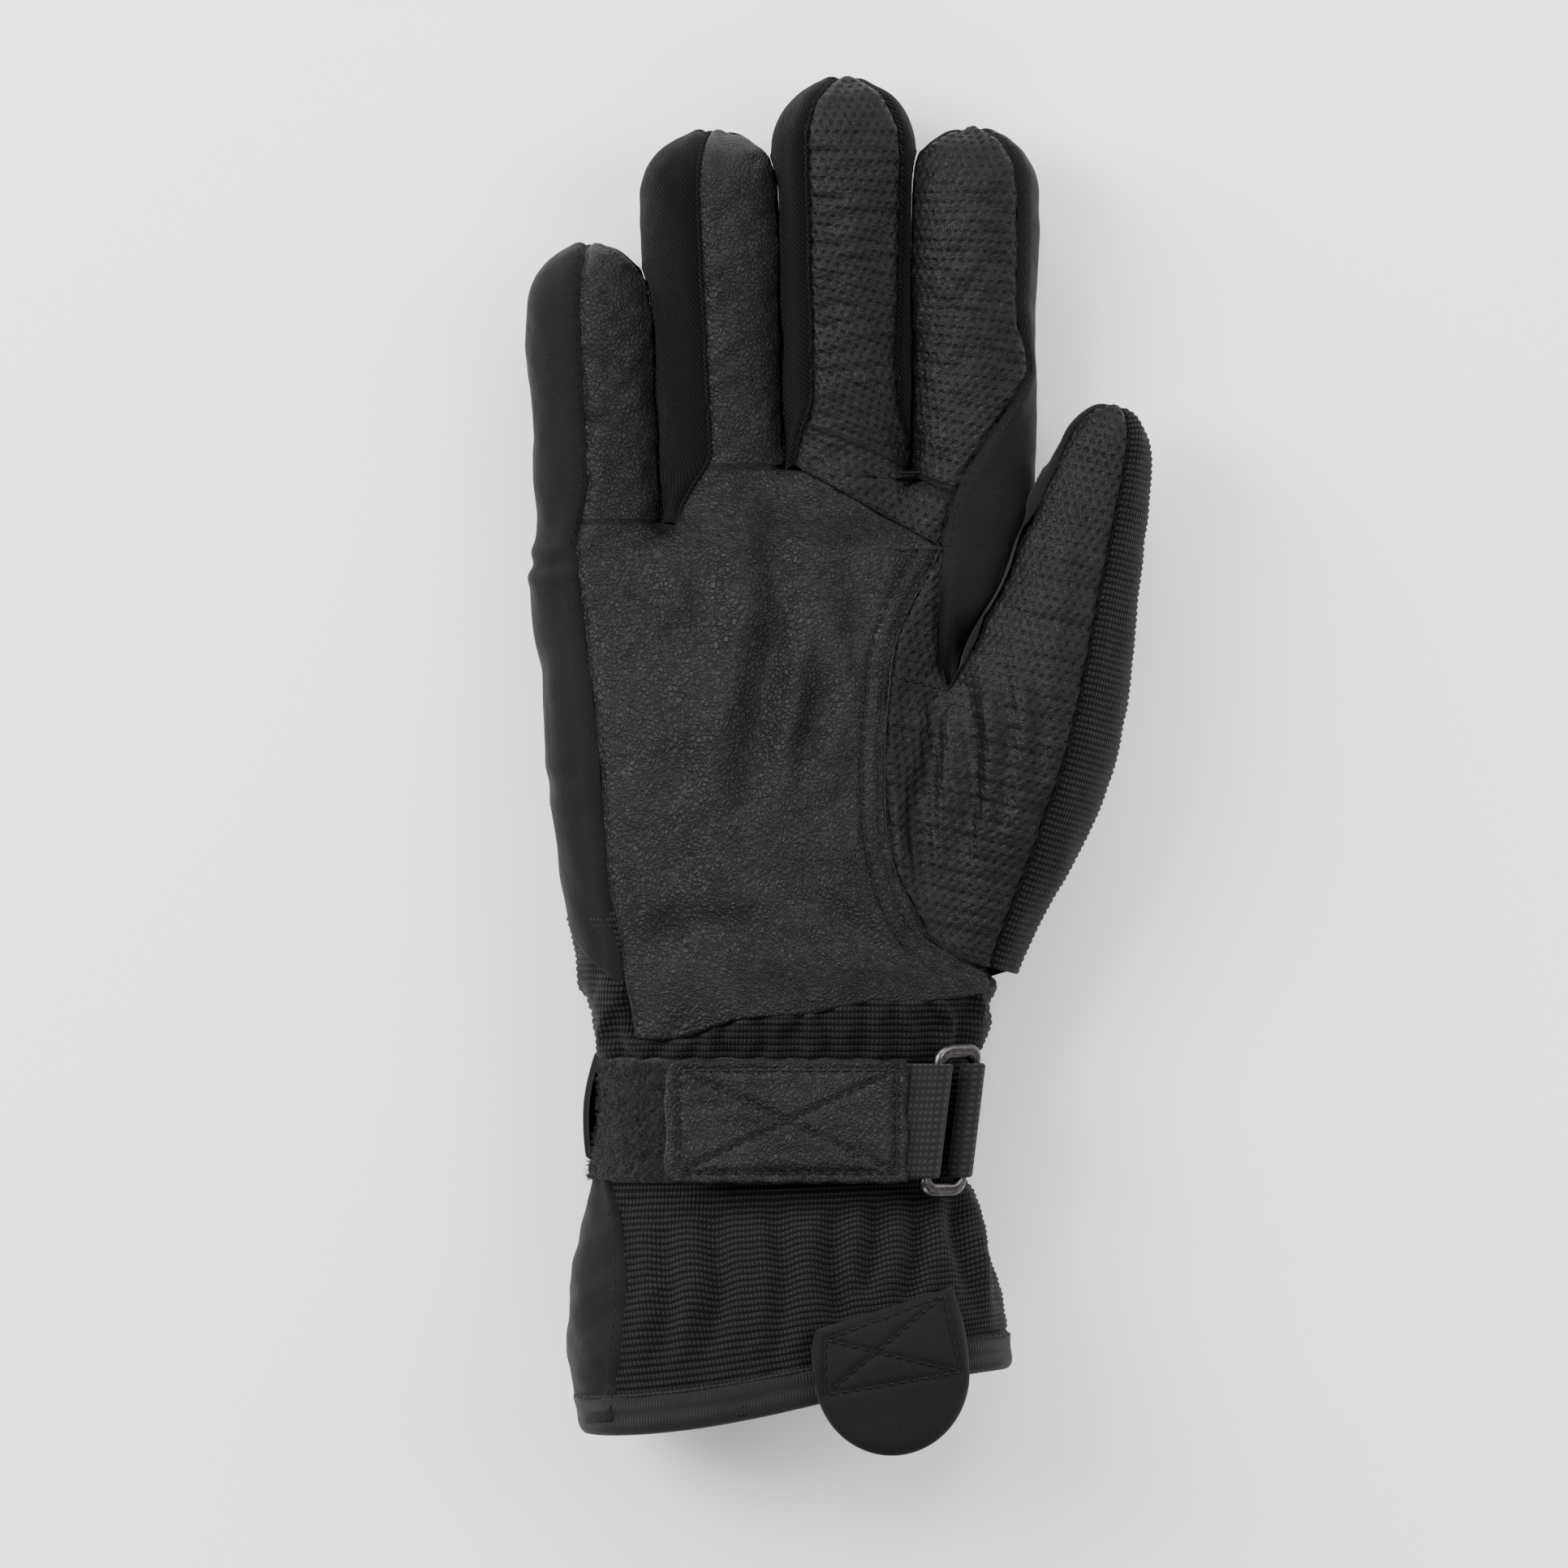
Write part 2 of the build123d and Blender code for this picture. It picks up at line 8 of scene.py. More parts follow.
import bpy
import json
import numpy as np
from math import cos, pi, radians, sin
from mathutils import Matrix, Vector


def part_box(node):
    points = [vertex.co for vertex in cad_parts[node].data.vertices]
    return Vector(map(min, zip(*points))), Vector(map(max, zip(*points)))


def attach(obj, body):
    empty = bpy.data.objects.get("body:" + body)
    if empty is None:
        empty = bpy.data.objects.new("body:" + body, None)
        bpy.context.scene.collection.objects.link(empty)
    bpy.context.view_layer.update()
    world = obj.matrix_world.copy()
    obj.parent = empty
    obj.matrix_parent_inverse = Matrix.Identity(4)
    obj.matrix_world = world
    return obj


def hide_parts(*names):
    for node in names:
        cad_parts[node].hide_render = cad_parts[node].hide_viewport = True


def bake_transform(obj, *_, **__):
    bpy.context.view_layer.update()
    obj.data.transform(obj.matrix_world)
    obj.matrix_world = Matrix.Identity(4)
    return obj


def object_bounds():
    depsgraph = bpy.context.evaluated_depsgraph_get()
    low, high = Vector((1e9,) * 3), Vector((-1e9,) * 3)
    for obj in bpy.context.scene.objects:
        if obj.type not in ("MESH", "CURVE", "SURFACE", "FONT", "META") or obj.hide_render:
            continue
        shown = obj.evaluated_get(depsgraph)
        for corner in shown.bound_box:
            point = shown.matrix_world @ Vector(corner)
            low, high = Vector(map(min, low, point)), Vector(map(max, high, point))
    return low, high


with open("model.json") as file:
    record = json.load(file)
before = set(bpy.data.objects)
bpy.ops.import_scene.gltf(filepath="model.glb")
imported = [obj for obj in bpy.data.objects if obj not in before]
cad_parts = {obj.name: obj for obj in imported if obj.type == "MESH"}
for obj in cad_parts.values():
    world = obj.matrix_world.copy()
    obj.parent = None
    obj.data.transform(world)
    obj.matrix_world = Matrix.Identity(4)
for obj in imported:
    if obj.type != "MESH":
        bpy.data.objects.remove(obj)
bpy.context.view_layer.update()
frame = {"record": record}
MM = 0.001
UP = np.array((0.0, 0.0, 1.0))
COARSE = 1.0
joints = {joint["name"]: joint for joint in frame["record"]["behaviour"]["joints"]}
rng = np.random.default_rng(7)


# ---- Numbers ----
def mix(a, b, share):
    """From a to b by share."""
    return a + (b - a) * share


def ease(start, end, value):
    """0 before start, 1 after end, and a smooth rise between."""
    t = np.clip((value - start) / (end - start), 0, 1)
    return t * t * (3 - 2 * t)


def smooth_min(a, b, reach):
    """The lower of two fields, rounded where they meet."""
    share = np.clip(0.5 + 0.5 * (b - a) / reach, 0, 1)
    return mix(b, a, share) - reach * share * (1 - share)


def through(points, at):
    """A smooth curve through (place, value) points, level past both ends."""
    knots, values = np.array(points, float).T
    slopes = np.gradient(values, knots)
    at = np.clip(at, knots[0], knots[-1])
    i = np.clip(np.searchsorted(knots, at) - 1, 0, len(knots) - 2)
    width = knots[i + 1] - knots[i]
    t = (at - knots[i]) / width
    rise = values[i + 1] - values[i]
    ends = slopes[i] * width * t * (1 - t) ** 2 - slopes[i + 1] * width * t * t * (1 - t)
    return values[i] + rise * t * t * (3 - 2 * t) + ends


def sampled(at, knots, values):
    """Rows of values at places between knots, each column on its own."""
    return np.stack([np.interp(at, knots, column) for column in values.T], -1)


def place_of(joint):
    """A joint's place, in millimetres."""
    return np.array(joints[joint]["pos_m"]) / MM


def box_mm(node):
    """The low and high corners of a solid of the model, in millimetres."""
    low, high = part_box(node)
    return np.array(low) / MM, np.array(high) / MM


# ---- The hand's outline: (y, x) along both edges, (y, z) along the back and the palm ----
HAND_LEFT = (
    (-150, -53.6), (-137, -55.4), (-126, -56.7), (-105, -55.2), (-92, -52.4), (-77, -49.5), (-60, -50.6),
    (-49, -54.2), (-38, -57.0), (-19, -60.3), (-2, -62.6), (31, -63.9), (56, -65.8), (70, -66.5),
)
HAND_RIGHT = (
    (-150, 37.4), (-126, 37.0), (-108, 34.6), (-98, 31.0), (-87, 27.8), (-75, 28.4), (-61, 30.4),
    (-52, 33.4), (-44, 35.8), (-36, 32.5), (-14, 27.0), (17, 25.5), (30, 28.5), (44, 35.5), (56, 40.0),
    (66, 43.5),
)
HAND_PALM = (
    (-150, 50.5), (-118, 48.5), (-104, 43.0), (-92, 37.8), (-77, 36.0), (-60, 36.8), (-40, 37.5),
    (-14, 37.2), (14, 35.2), (32, 31.8), (46, 28.6), (58, 26.2), (70, 25.2),
)
HAND_BACK = ((-150, 0.0), (-118, 0.0), (-104, 0.8), (-91, 2.4), (-77, 3.4), (-60, 2.2), (-40, 0.2), (70, 0.6))
HAND_END = ((-70, 44), (-38, 49.5), (-24, 56), (-11, 61.5), (3, 61), (16, 60), (30, 57), (46, 50))
SECTION_POWER = 2.5  # 2 is an ellipse, more is squarer
FINGER_START = 46.0  # where the finger panels take over from the palm panels
CROTCHES = (52.5, 64.5, 63.0)  # between neighbouring fingers, from the little finger


class Digit:
    """A finger or the thumb: an axis, radii along it and a rounded tip."""

    def __init__(self, name, root, direction, length, radii, flat, tip):
        self.name, self.root, self.length, self.radii = name, np.array(root), length, radii
        self.forward = np.array(direction) / np.linalg.norm(direction)
        self.across = np.cross(self.forward, UP)
        self.flat, self.tip = flat, tip
        self.tip_start = length - tip

    def local(self, p):
        """Distance along the axis, across it and above it."""
        q = p - self.root
        return q @ self.forward, q @ self.across, q[..., 2]

    def field(self, p):
        """Distance from the digit's surface, below 0 inside."""
        s, side, up = self.local(p)
        radius = through(self.radii, s)
        ahead = np.maximum(0, s - self.tip_start) * radius / self.tip
        behind = np.maximum(0, self.radii[0][0] - s)
        return np.sqrt(side**2 + (up * self.flat) ** 2 + ahead**2 + behind**2) - radius

    def at(self, s, side=0.0, up=0.0):
        """The point at a distance along, across and above the axis."""
        s, side, up = (np.asarray(v, float)[..., None] for v in (s, side, up))
        return self.root + s * self.forward + side * self.across + up * UP


DIGIT_FLAT = 1.1  # how much wider than high a finger is


def finger(name, radii, tip):
    """A finger along the line of its two hinges, as long as its solid."""
    knuckle, middle = place_of(f"{name}_knuckle"), place_of(f"{name}_middle")
    direction = (middle - knuckle) / np.linalg.norm(middle - knuckle)
    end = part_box(f"{name}_upper_face")[1][1] / MM
    return Digit(name, knuckle, direction, (end - knuckle[1]) / direction[1], radii, DIGIT_FLAT, tip)


FINGERS = (
    finger("little", ((-22, 12.5), (0, 13.6), (22, 13.5), (40, 14.2), (58, 12.9)), 14.0),
    finger("ring", ((-22, 12.5), (0, 13.8), (28, 14.1), (56, 15.5), (76, 15.2)), 14.0),
    finger("middle", ((-22, 12.5), (0, 14.0), (32, 14.6), (64, 15.7), (85, 15.2)), 14.5),
    finger("index", ((-22, 12.5), (0, 13.6), (28, 13.7), (54, 14.4), (75, 13.9)), 13.0),
)
THUMB_FORWARD, THUMB_LENGTH, THUMB_HINGE = (0.2622, 0.965, 0), 109.0, 74.0
THUMB_ROOT = place_of("thumb_tip") - THUMB_HINGE * np.array(THUMB_FORWARD)
THUMB_RADII = ((-16, 8), (-3, 12.8), (12, 16.6), (32, 19.1), (52, 17.8), (68, 15.0), (84, 12.6), (98, 10.4))
THUMB = Digit("thumb", THUMB_ROOT, THUMB_FORWARD, THUMB_LENGTH, THUMB_RADII, DIGIT_FLAT, 15.0)
SWING = place_of("thumb_swing")
SWING_LINE = np.array(joints["thumb_swing"]["axis"])
SWING_OUT = np.array((-SWING_LINE[1], SWING_LINE[0], 0.0))
SWING_BAND = (-2.0, 16.0)  # where the thumb's root bends, as distances past the swing line
WRIST = place_of("wrist_bend")
CROTCH_REACH = 27.5  # from the middle of the swing line to the crotch of the thumb


def hand_field(p):
    """The palm, wrist and cuff, without digits. Below 0 is inside."""
    x, y, z = p[..., 0], p[..., 1], p[..., 2]
    left, right = through(HAND_LEFT, y), through(HAND_RIGHT, y)
    low, high = through(HAND_BACK, y), through(HAND_PALM, y)
    wide, tall = (right - left) / 2, (high - low) / 2
    across = np.abs(x - (left + right) / 2) / wide
    up = np.abs(z - (low + high) / 2) / tall
    round_about = ((across**SECTION_POWER + up**SECTION_POWER) ** (1 / SECTION_POWER) - 1) * tall
    return -smooth_min(-round_about, through(HAND_END, x) - y, 6)


WALL_GAP = 0.4  # half the gap between the thumb and the hand above the crotch
BODY_ROUND = 8.0  # how softly the thumb runs into the hand


def walled_off(kept, own, other):
    """A field cut off where another one is nearer than its own."""
    return np.maximum(kept, (own - other) / 2 + WALL_GAP)


def above_crotch(p):
    """1 in the gap between thumb and index finger, 0 where the thumb joins the hand."""
    along = (p - SWING) @ SWING_LINE
    return 1 - ease(-CROTCH_REACH - 3, -CROTCH_REACH + 1, along)


def palm_body(p):
    """The hand and its fingers, without the thumb."""
    fingers = FINGERS[0].field(p)
    for other in FINGERS[1:]:
        fingers = smooth_min(fingers, other.field(p), 2)
    return smooth_min(hand_field(p), fingers, 6)


def joined(p):
    """The hand, fingers and thumb in one."""
    return smooth_min(palm_body(p), THUMB.field(p), BODY_ROUND)


def hand_side(p):
    """The hand, kept clear of the thumb above the thumb's crotch."""
    body, thumb = palm_body(p), THUMB.field(p)
    return mix(smooth_min(body, thumb, BODY_ROUND), walled_off(body, body, thumb), above_crotch(p))


def hand_wall(p):
    """The hand, cut off where the thumb is nearer."""
    body = palm_body(p)
    return walled_off(body, body, THUMB.field(p))


def thumb_side(p):
    """The thumb, kept clear of the hand above its crotch."""
    body, thumb = palm_body(p), THUMB.field(p)
    return mix(smooth_min(body, thumb, BODY_ROUND), walled_off(thumb, thumb, body), above_crotch(p))


def thumb_wall(p):
    """The thumb, cut off where the hand is nearer."""
    body, thumb = palm_body(p), THUMB.field(p)
    return walled_off(smooth_min(body, thumb, BODY_ROUND), thumb, body)


def finger_side(number, walled=False):
    """A finger with the hand, cut off half way to its neighbours: above the crotches, or all the way down."""
    own = FINGERS[number]

    def field(p):
        distance = own.field(p)
        body = palm_body(p)
        for other, crotch in ((number - 1, number - 1), (number + 1, number)):
            if 0 <= other < len(FINGERS):
                wall = (distance - FINGERS[other].field(p)) / 2 + 0.3
                if not walled:
                    wall = wall - 60 * (1 - ease(CROTCHES[crotch] - 1.5, CROTCHES[crotch], p[..., 1]))
                body = np.maximum(body, wall)
        return walled_off(body, distance, THUMB.field(p)) if own is FINGERS[-1] else body

    return field


REACH = 60.0  # farther than any surface is from the line its rays start from


def cast(field, origin, direction, reach=REACH):
    """Where rays from inside the glove leave it, and the surface's normals there."""
    low, high = np.zeros(origin.shape[:-1]), np.full(origin.shape[:-1], float(reach))
    for _ in range(13):
        middle = (low + high) / 2
        inside = field(origin + direction * middle[..., None]) < 0
        low, high = np.where(inside, middle, low), np.where(inside, high, middle)
    points = origin + direction * low[..., None]
    here, step = field(points), 0.4
    slope = [field(points + step * axis) - here for axis in np.eye(3)]
    normals = np.stack(slope, -1)
    return points, normals / np.maximum(np.linalg.norm(normals, axis=-1), 1e-6)[..., None]


# ---- Panels: grids of surface points between two seams ----
THUMB_STEP, LEATHER_STEP, STRIP_STEP = 0.38, 0.62, 0.8  # between grid points, finest where relief is
SHELL_STEP, BACK_STEP = 0.9, 1.2
CORE_Z = 15.5  # a height that is inside the glove everywhere
CUFF_LIFT = 3.0  # and how much higher the rays down the cuff start
ACROSS = np.array((1.0, 0.0, 0.0))


def core_of(points, lift=0.0):
    """The places inside the glove over or under points."""
    return points * (1, 1, 0) + (0, 0, CORE_Z + lift)


class Grid:
    """Rows and columns of surface points, with their normals and their distances along the fabric."""

    def __init__(self, points, normals, anchor=0.5):
        self.points, self.normals = points, normals
        steps = np.linalg.norm(np.diff(points, axis=1), axis=-1)
        self.from_left = np.pad(np.cumsum(steps, 1), ((0, 0), (1, 0)))
        self.from_right = self.from_left[:, -1:] - self.from_left
        middle = points[:, points.shape[1] // 2]
        rises = np.linalg.norm(np.diff(middle, axis=0), axis=-1)
        rows = np.pad(np.cumsum(rises), (1, 0))[:, None]
        self.u = self.from_left - anchor * self.from_left[:, -1:]
        self.v = np.broadcast_to(rows, self.u.shape)

    def part(self, rows):
        """The same fabric, over some of its rows only."""
        piece = object.__new__(Grid)
        for name, value in vars(self).items():
            setattr(piece, name, value[rows])
        return piece

    def raised(self, height):
        """The same grid moved out along its normals."""
        piece = object.__new__(Grid)
        vars(piece).update(vars(self))
        height = np.broadcast_to(height, self.u.shape)
        piece.points = self.points + self.normals * height[..., None]
        return piece


def steps_of(length, step):
    """Shares from 0 to 1 that divide a length into steps."""
    return np.linspace(0, 1, max(3, round(length / (step * COARSE)) + 1))


def by_rows(start, end, step):
    """Places from start to end along the glove or a digit."""
    return start + steps_of(abs(end - start), step) * (end - start)


def ray(angle, across, tilt=0.0):
    """Directions at an angle about a forward line, and tilted along it."""
    angle = np.asarray(angle, float)[..., None]
    tilt = np.broadcast_to(tilt, angle.shape[:-1])[..., None]
    around = np.cos(angle) * across + np.sin(angle) * UP
    return np.cos(tilt) * around + np.sin(tilt) * np.cross(UP, across)


def panel(field, left, right, across, width, step, anchor=0.5, shift=None):
    """The surface between two seams. A seam is (points inside the glove, points on its surface), by row.

    width is about how wide the panel is, for its number of columns. anchor is where its fabric's u is 0,
    as a share of its width. shift moves the rows along the glove, by their place.
    """
    across = np.broadcast_to(across, left[0].shape)
    forward = np.cross(UP, across)
    polar = []
    for inner, points in (left, right):
        arm = points - inner
        side, ahead = (arm * across).sum(-1), (arm * forward).sum(-1)
        polar.append((np.arctan2(arm[:, 2], side), np.arctan2(ahead, np.hypot(side, arm[:, 2]))))
    (left_angle, left_tilt), (right_angle, right_tilt) = polar
    turn = (left_angle - right_angle + 0.5) % (2 * pi) - 0.5
    share = steps_of(width, step)[None, :]
    angle = left_angle[:, None] - turn[:, None] * share
    tilt = mix(left_tilt[:, None], right_tilt[:, None], share)
    origin = mix(left[0][:, None], right[0][:, None], share[..., None])
    if shift is not None:
        origin[..., 1] += shift(origin)
    points, normals = cast(field, origin, ray(angle, across[:, None], tilt), 75)
    return Grid(points, normals, anchor)


def above(x, y, field, up=1):
    """Surface points over or under places in plan."""
    x, y = np.broadcast_arrays(np.asarray(x, float), np.asarray(y, float))
    origin = np.stack((x, y, np.full_like(x, CORE_Z)), -1)
    return cast(field, origin, np.broadcast_to(up * UP, origin.shape), 45)[0]


def line(points, at):
    """Straight runs through (place, value) points."""
    places, values = np.array(points, float).T
    return np.interp(at, places, values)


# ---- Seams in plan, (y, x) ----
CROTCH_X = (-34.6, -9.3, 16.2)
ULNAR_SEAM = ((-66, -42.4), (-60, -43.0), (-28, -48.9), (7, -51.6), (30, -54.4), (52, -56.8), (60, -57.0))
GRIP_SEAM = (
    (-50, 34.0), (-45.5, 32.2), (-42, 26.5), (-38.5, 21.0), (-24.5, 13.2), (-1.8, 10.6), (14, 11.4),
    (28, 13.6), (38, 18.4), (43.7, 21.6), (46.9, 22.8),
)
GRIP_TOP = ((46.9, 22.8), (64.8, -9.3))
FORK_LINE = ((50, 12.5), (52.6, 12.6), (63.2, 16.2))  # between the middle and index faces
INDEX_STRIP = ((46.9, 22.8), (52.5, 23.9), (60, 26.6), (66.5, 30.5), (77, 37.8), (84.5, 41.8))
GUSSET_SEAM = ((15.4, 24.2), (20, 23.2), (31.5, 22.6), (46.9, 23.2))
GRIP_CORNER_Y = 52.6  # where the seam of the grip leather meets the fork line

# ---- Fingers ----
SEAM_SETTLE = 15.0  # length over which a seam finds its own angle
POLE = radians(89.6)


def between(number, start=FINGER_START):
    """A seam's line from the palm to the crotch on the right of a finger: plan, turn and start."""
    return ((start, CROTCH_X[number]), (80, CROTCH_X[number])), CROTCHES[number], start


SIDE_LEFT = ((40, -60.0), (80, -60.0)), FINGER_START, FINGER_START
SIDE_RIGHT = ((40, 36.0), (80, 36.0)), FINGER_START, FINGER_START
FACE_LEFT = (
    (100, (ULNAR_SEAM, FINGER_START, FINGER_START)),
    (101, between(0)),
    (125, (((60, CROTCH_X[1]), (80, CROTCH_X[1])), 64.8, 64.8)),
    (166, (FORK_LINE, CROTCHES[2], GRIP_CORNER_Y)),
)
FACE_RIGHT = (
    (5, between(0)),
    (-6, (GRIP_TOP, 64.6, FINGER_START)),
    (35, (FORK_LINE, CROTCHES[2], GRIP_CORNER_Y)),
    (43, (INDEX_STRIP, 84.5, 46.9)),
)
BACK_LEFT = ((222, SIDE_LEFT), (225, between(0)), (225, between(1)), (225, between(2)))
BACK_RIGHT = ((315, between(0)), (315, between(1)), (315, between(2)), (318, SIDE_RIGHT))
FACE_STEPS = (0.75, 0.75, 0.36, 0.36)


def finger_panels(number):
    """Face, right side, back and left side of a finger, from the palm to its tip, and their shared seams."""
    own, field, step = FINGERS[number], finger_side(number), FACE_STEPS[number]
    walled = finger_side(number, walled=True)
    end_y = own.at(own.tip_start)[1]
    shares = steps_of(end_y - FINGER_START, step)
    tilts = POLE * steps_of(own.tip * pi / 2, step)[1:]

    def centre(y):
        return own.at((y - own.root[1]) / own.forward[1])

    def seam(angle, route, up):
        plan, turn_y, start_y = route
        y = start_y + shares * (end_y - start_y)
        first = above([line(plan, turn_y)], [turn_y], field, up)[0]
        arm = first - centre(np.array([turn_y]))[0]
        first_angle = np.arctan2(arm[2], arm[0])
        turn = (radians(angle) - first_angle + pi) % (2 * pi) - pi
        angles = first_angle + turn * ease(turn_y, turn_y + SEAM_SETTLE, y)
        below = above(line(plan, y), y, field, up)
        past = cast(field, centre(y), ray(angles, ACROSS))[0]
        points = np.where((y < turn_y)[:, None], below, past)
        settled = ease(start_y - 1, turn_y + 6, y)[:, None]
        inner = mix(np.stack((points[:, 0], y, np.full_like(y, CORE_Z)), -1), centre(y), settled)
        top = np.broadcast_to(own.at(own.tip_start), (len(tilts), 3))
        tip = cast(field, top, ray(np.full_like(tilts, angles[-1]), ACROSS, tilts))[0]
        return np.concatenate((inner, top)), np.concatenate((points, tip))

    def side(left, right, crotch, front, anchor):
        grid = panel(walled, left, right, ACROSS, 20, max(0.8, step), anchor)
        first = int(np.argmax(front[1][:, 1] >= crotch)) if crotch else 0
        return grid.part(slice(max(0, first - 1), None))

    face_left, face_right = seam(*FACE_LEFT[number], 1), seam(*FACE_RIGHT[number], 1)
    back_left, back_right = seam(*BACK_LEFT[number], -1), seam(*BACK_RIGHT[number], -1)
    right_crotch = CROTCHES[number] if number < 3 else None
    left_crotch = CROTCHES[number - 1] if number else None
    grids = {
        "face": panel(field, face_left, face_right, ACROSS, 27, step),
        "right": side(face_right, back_right, right_crotch, face_right, 0.0),
        "back": panel(field, back_right, back_left, ACROSS, 24, 1.1),
        "left": side(back_left, face_left, left_crotch, face_left, 1.0),
    }
    return grids


# ---- Thumb: rows square to its axis, from the heel of the hand to its tip ----
THUMB_START, THUMB_CROTCH = -15.5, 39.5
STRIP_ANGLE, THUMB_FACE_LEFT, THUMB_BACK_LEFT, THUMB_BACK_RIGHT = 62, 160, 218, 320


def on_thumb_rows(curve, s):
    """Where a curve of points crosses the thumb's rows."""
    along = THUMB.local(curve)[0]
    order = np.argsort(along)
    return sampled(s, along[order], curve[order])


def thumb_seam(angle, s, field, first=None):
    """A seam at an angle about the thumb, which may start from a point of its own."""
    origin = THUMB.at(s)
    angles = np.full_like(s, radians(angle))
    if first is not None:
        arm = first - origin[0]
        start = np.arctan2(arm[2], arm @ THUMB.across)
        turn = (radians(angle) - start + pi) % (2 * pi) - pi
        angles = start + turn * ease(s[0], s[0] + SEAM_SETTLE, s)
    return origin, cast(field, origin, ray(angles, THUMB.across))[0]


def tipped(seam, field):
    """A seam carried on over the thumb's tip."""
    inner, points = seam
    tilts = POLE * steps_of(THUMB.tip * pi / 2, THUMB_STEP)[1:]
    top = np.broadcast_to(THUMB.at(THUMB.tip_start), (len(tilts), 3))
    arm = points[-1] - inner[-1]
    angle = np.full_like(tilts, np.arctan2(arm[2], arm @ THUMB.across))
    tip = cast(field, top, ray(angle, THUMB.across, tilts))[0]
    return np.concatenate((inner, top)), np.concatenate((points, tip))


def thumb_panels():
    """The thenar and thumb leather, knit strip, gusset and back."""
    heel_s = by_rows(THUMB_START, THUMB_CROTCH, THUMB_STEP)
    thumb_s = by_rows(THUMB_CROTCH, THUMB.tip_start, THUMB_STEP)
    seam_y = np.linspace(-50, 46.9, 200)
    seam_plan = np.stack((line(GRIP_SEAM, seam_y), seam_y, np.zeros_like(seam_y)), -1)
    start = on_thumb_rows(seam_plan, heel_s)
    grip = above(start[:, 0], start[:, 1], joined)
    strip = thumb_seam(STRIP_ANGLE, heel_s, joined)
    strip_back = thumb_seam(THUMB_BACK_RIGHT, heel_s, joined)
    crotch = above(GUSSET_SEAM[0][1], GUSSET_SEAM[0][0], joined)
    crotch_back = above(GUSSET_SEAM[0][1] + 3, GUSSET_SEAM[0][0], joined, -1)
    face_left = tipped(thumb_seam(THUMB_FACE_LEFT, thumb_s, thumb_side, crotch), thumb_side)
    face_right = tipped(thumb_seam(STRIP_ANGLE, thumb_s, thumb_side), thumb_side)
    back_right = tipped(thumb_seam(THUMB_BACK_RIGHT, thumb_s, thumb_side), thumb_side)
    back_left = tipped(thumb_seam(THUMB_BACK_LEFT, thumb_s, thumb_side, crotch_back), thumb_side)
    across = THUMB.across
    return {
        "heel": panel(joined, (core_of(grip), grip), strip, across, 44, THUMB_STEP, 1.0),
        "heel_strip": panel(joined, strip, strip_back, across, 30, STRIP_STEP, 0.0),
        "face": panel(thumb_side, face_left, face_right, across, 34, THUMB_STEP, 1.0),
        "strip": panel(thumb_side, face_right, back_right, across, 30, STRIP_STEP, 0.0),
        "gusset": panel(thumb_wall, back_left, face_left, across, 18, SHELL_STEP, 1.0),
        "back": panel(thumb_side, back_right, back_left, across, 26, BACK_STEP),
        "strip_back": strip_back,
        "crotch_back": crotch_back,
    }


# ---- Hand, wrist and cuff: rows across the glove ----
def plan_seam(curve, y, field, up=1):
    """A seam that lies under or over a line in plan."""
    points = above(curve(y), y, field, up)
    return core_of(points), points


def edge_seam(side, y, field, inset=14.0):
    """The seam between the back and the side of the glove, along its left or right edge."""
    outline, inward = (HAND_LEFT, 1) if side == "left" else (HAND_RIGHT, -1)
    inner = np.stack((through(outline, y) + inward * inset, y, np.full_like(y, CORE_Z)), -1)
    return inner, cast(field, inner, ray(np.full_like(y, radians(EDGE_ANGLES[side])), ACROSS))[0]


EDGE_ANGLES = {"left": 222, "right": 318}  # where the back's seams lie, about a line inside each edge
LEATHER_END, LEATHER_RIGHT_END = -60.2, -51.5
SIDE_END, SIDE_BACK_END = -49.0, -24.0
BACK_END = -50.0


LEATHER_WIDTH = 78  # over the wrist


def leather_wave(x):
    """How far the leather's lower edge strays from a straight line."""
    return 0.9 * np.sin(x / 4.3) + 3.0 * ease(-40, 0, x)


def leather_end(x):
    """Where the palm leather ends over the wrist, as y by x."""
    return mix(LEATHER_END, LEATHER_RIGHT_END, (x - line(ULNAR_SEAM, -60)) / LEATHER_WIDTH) + leather_wave(x)


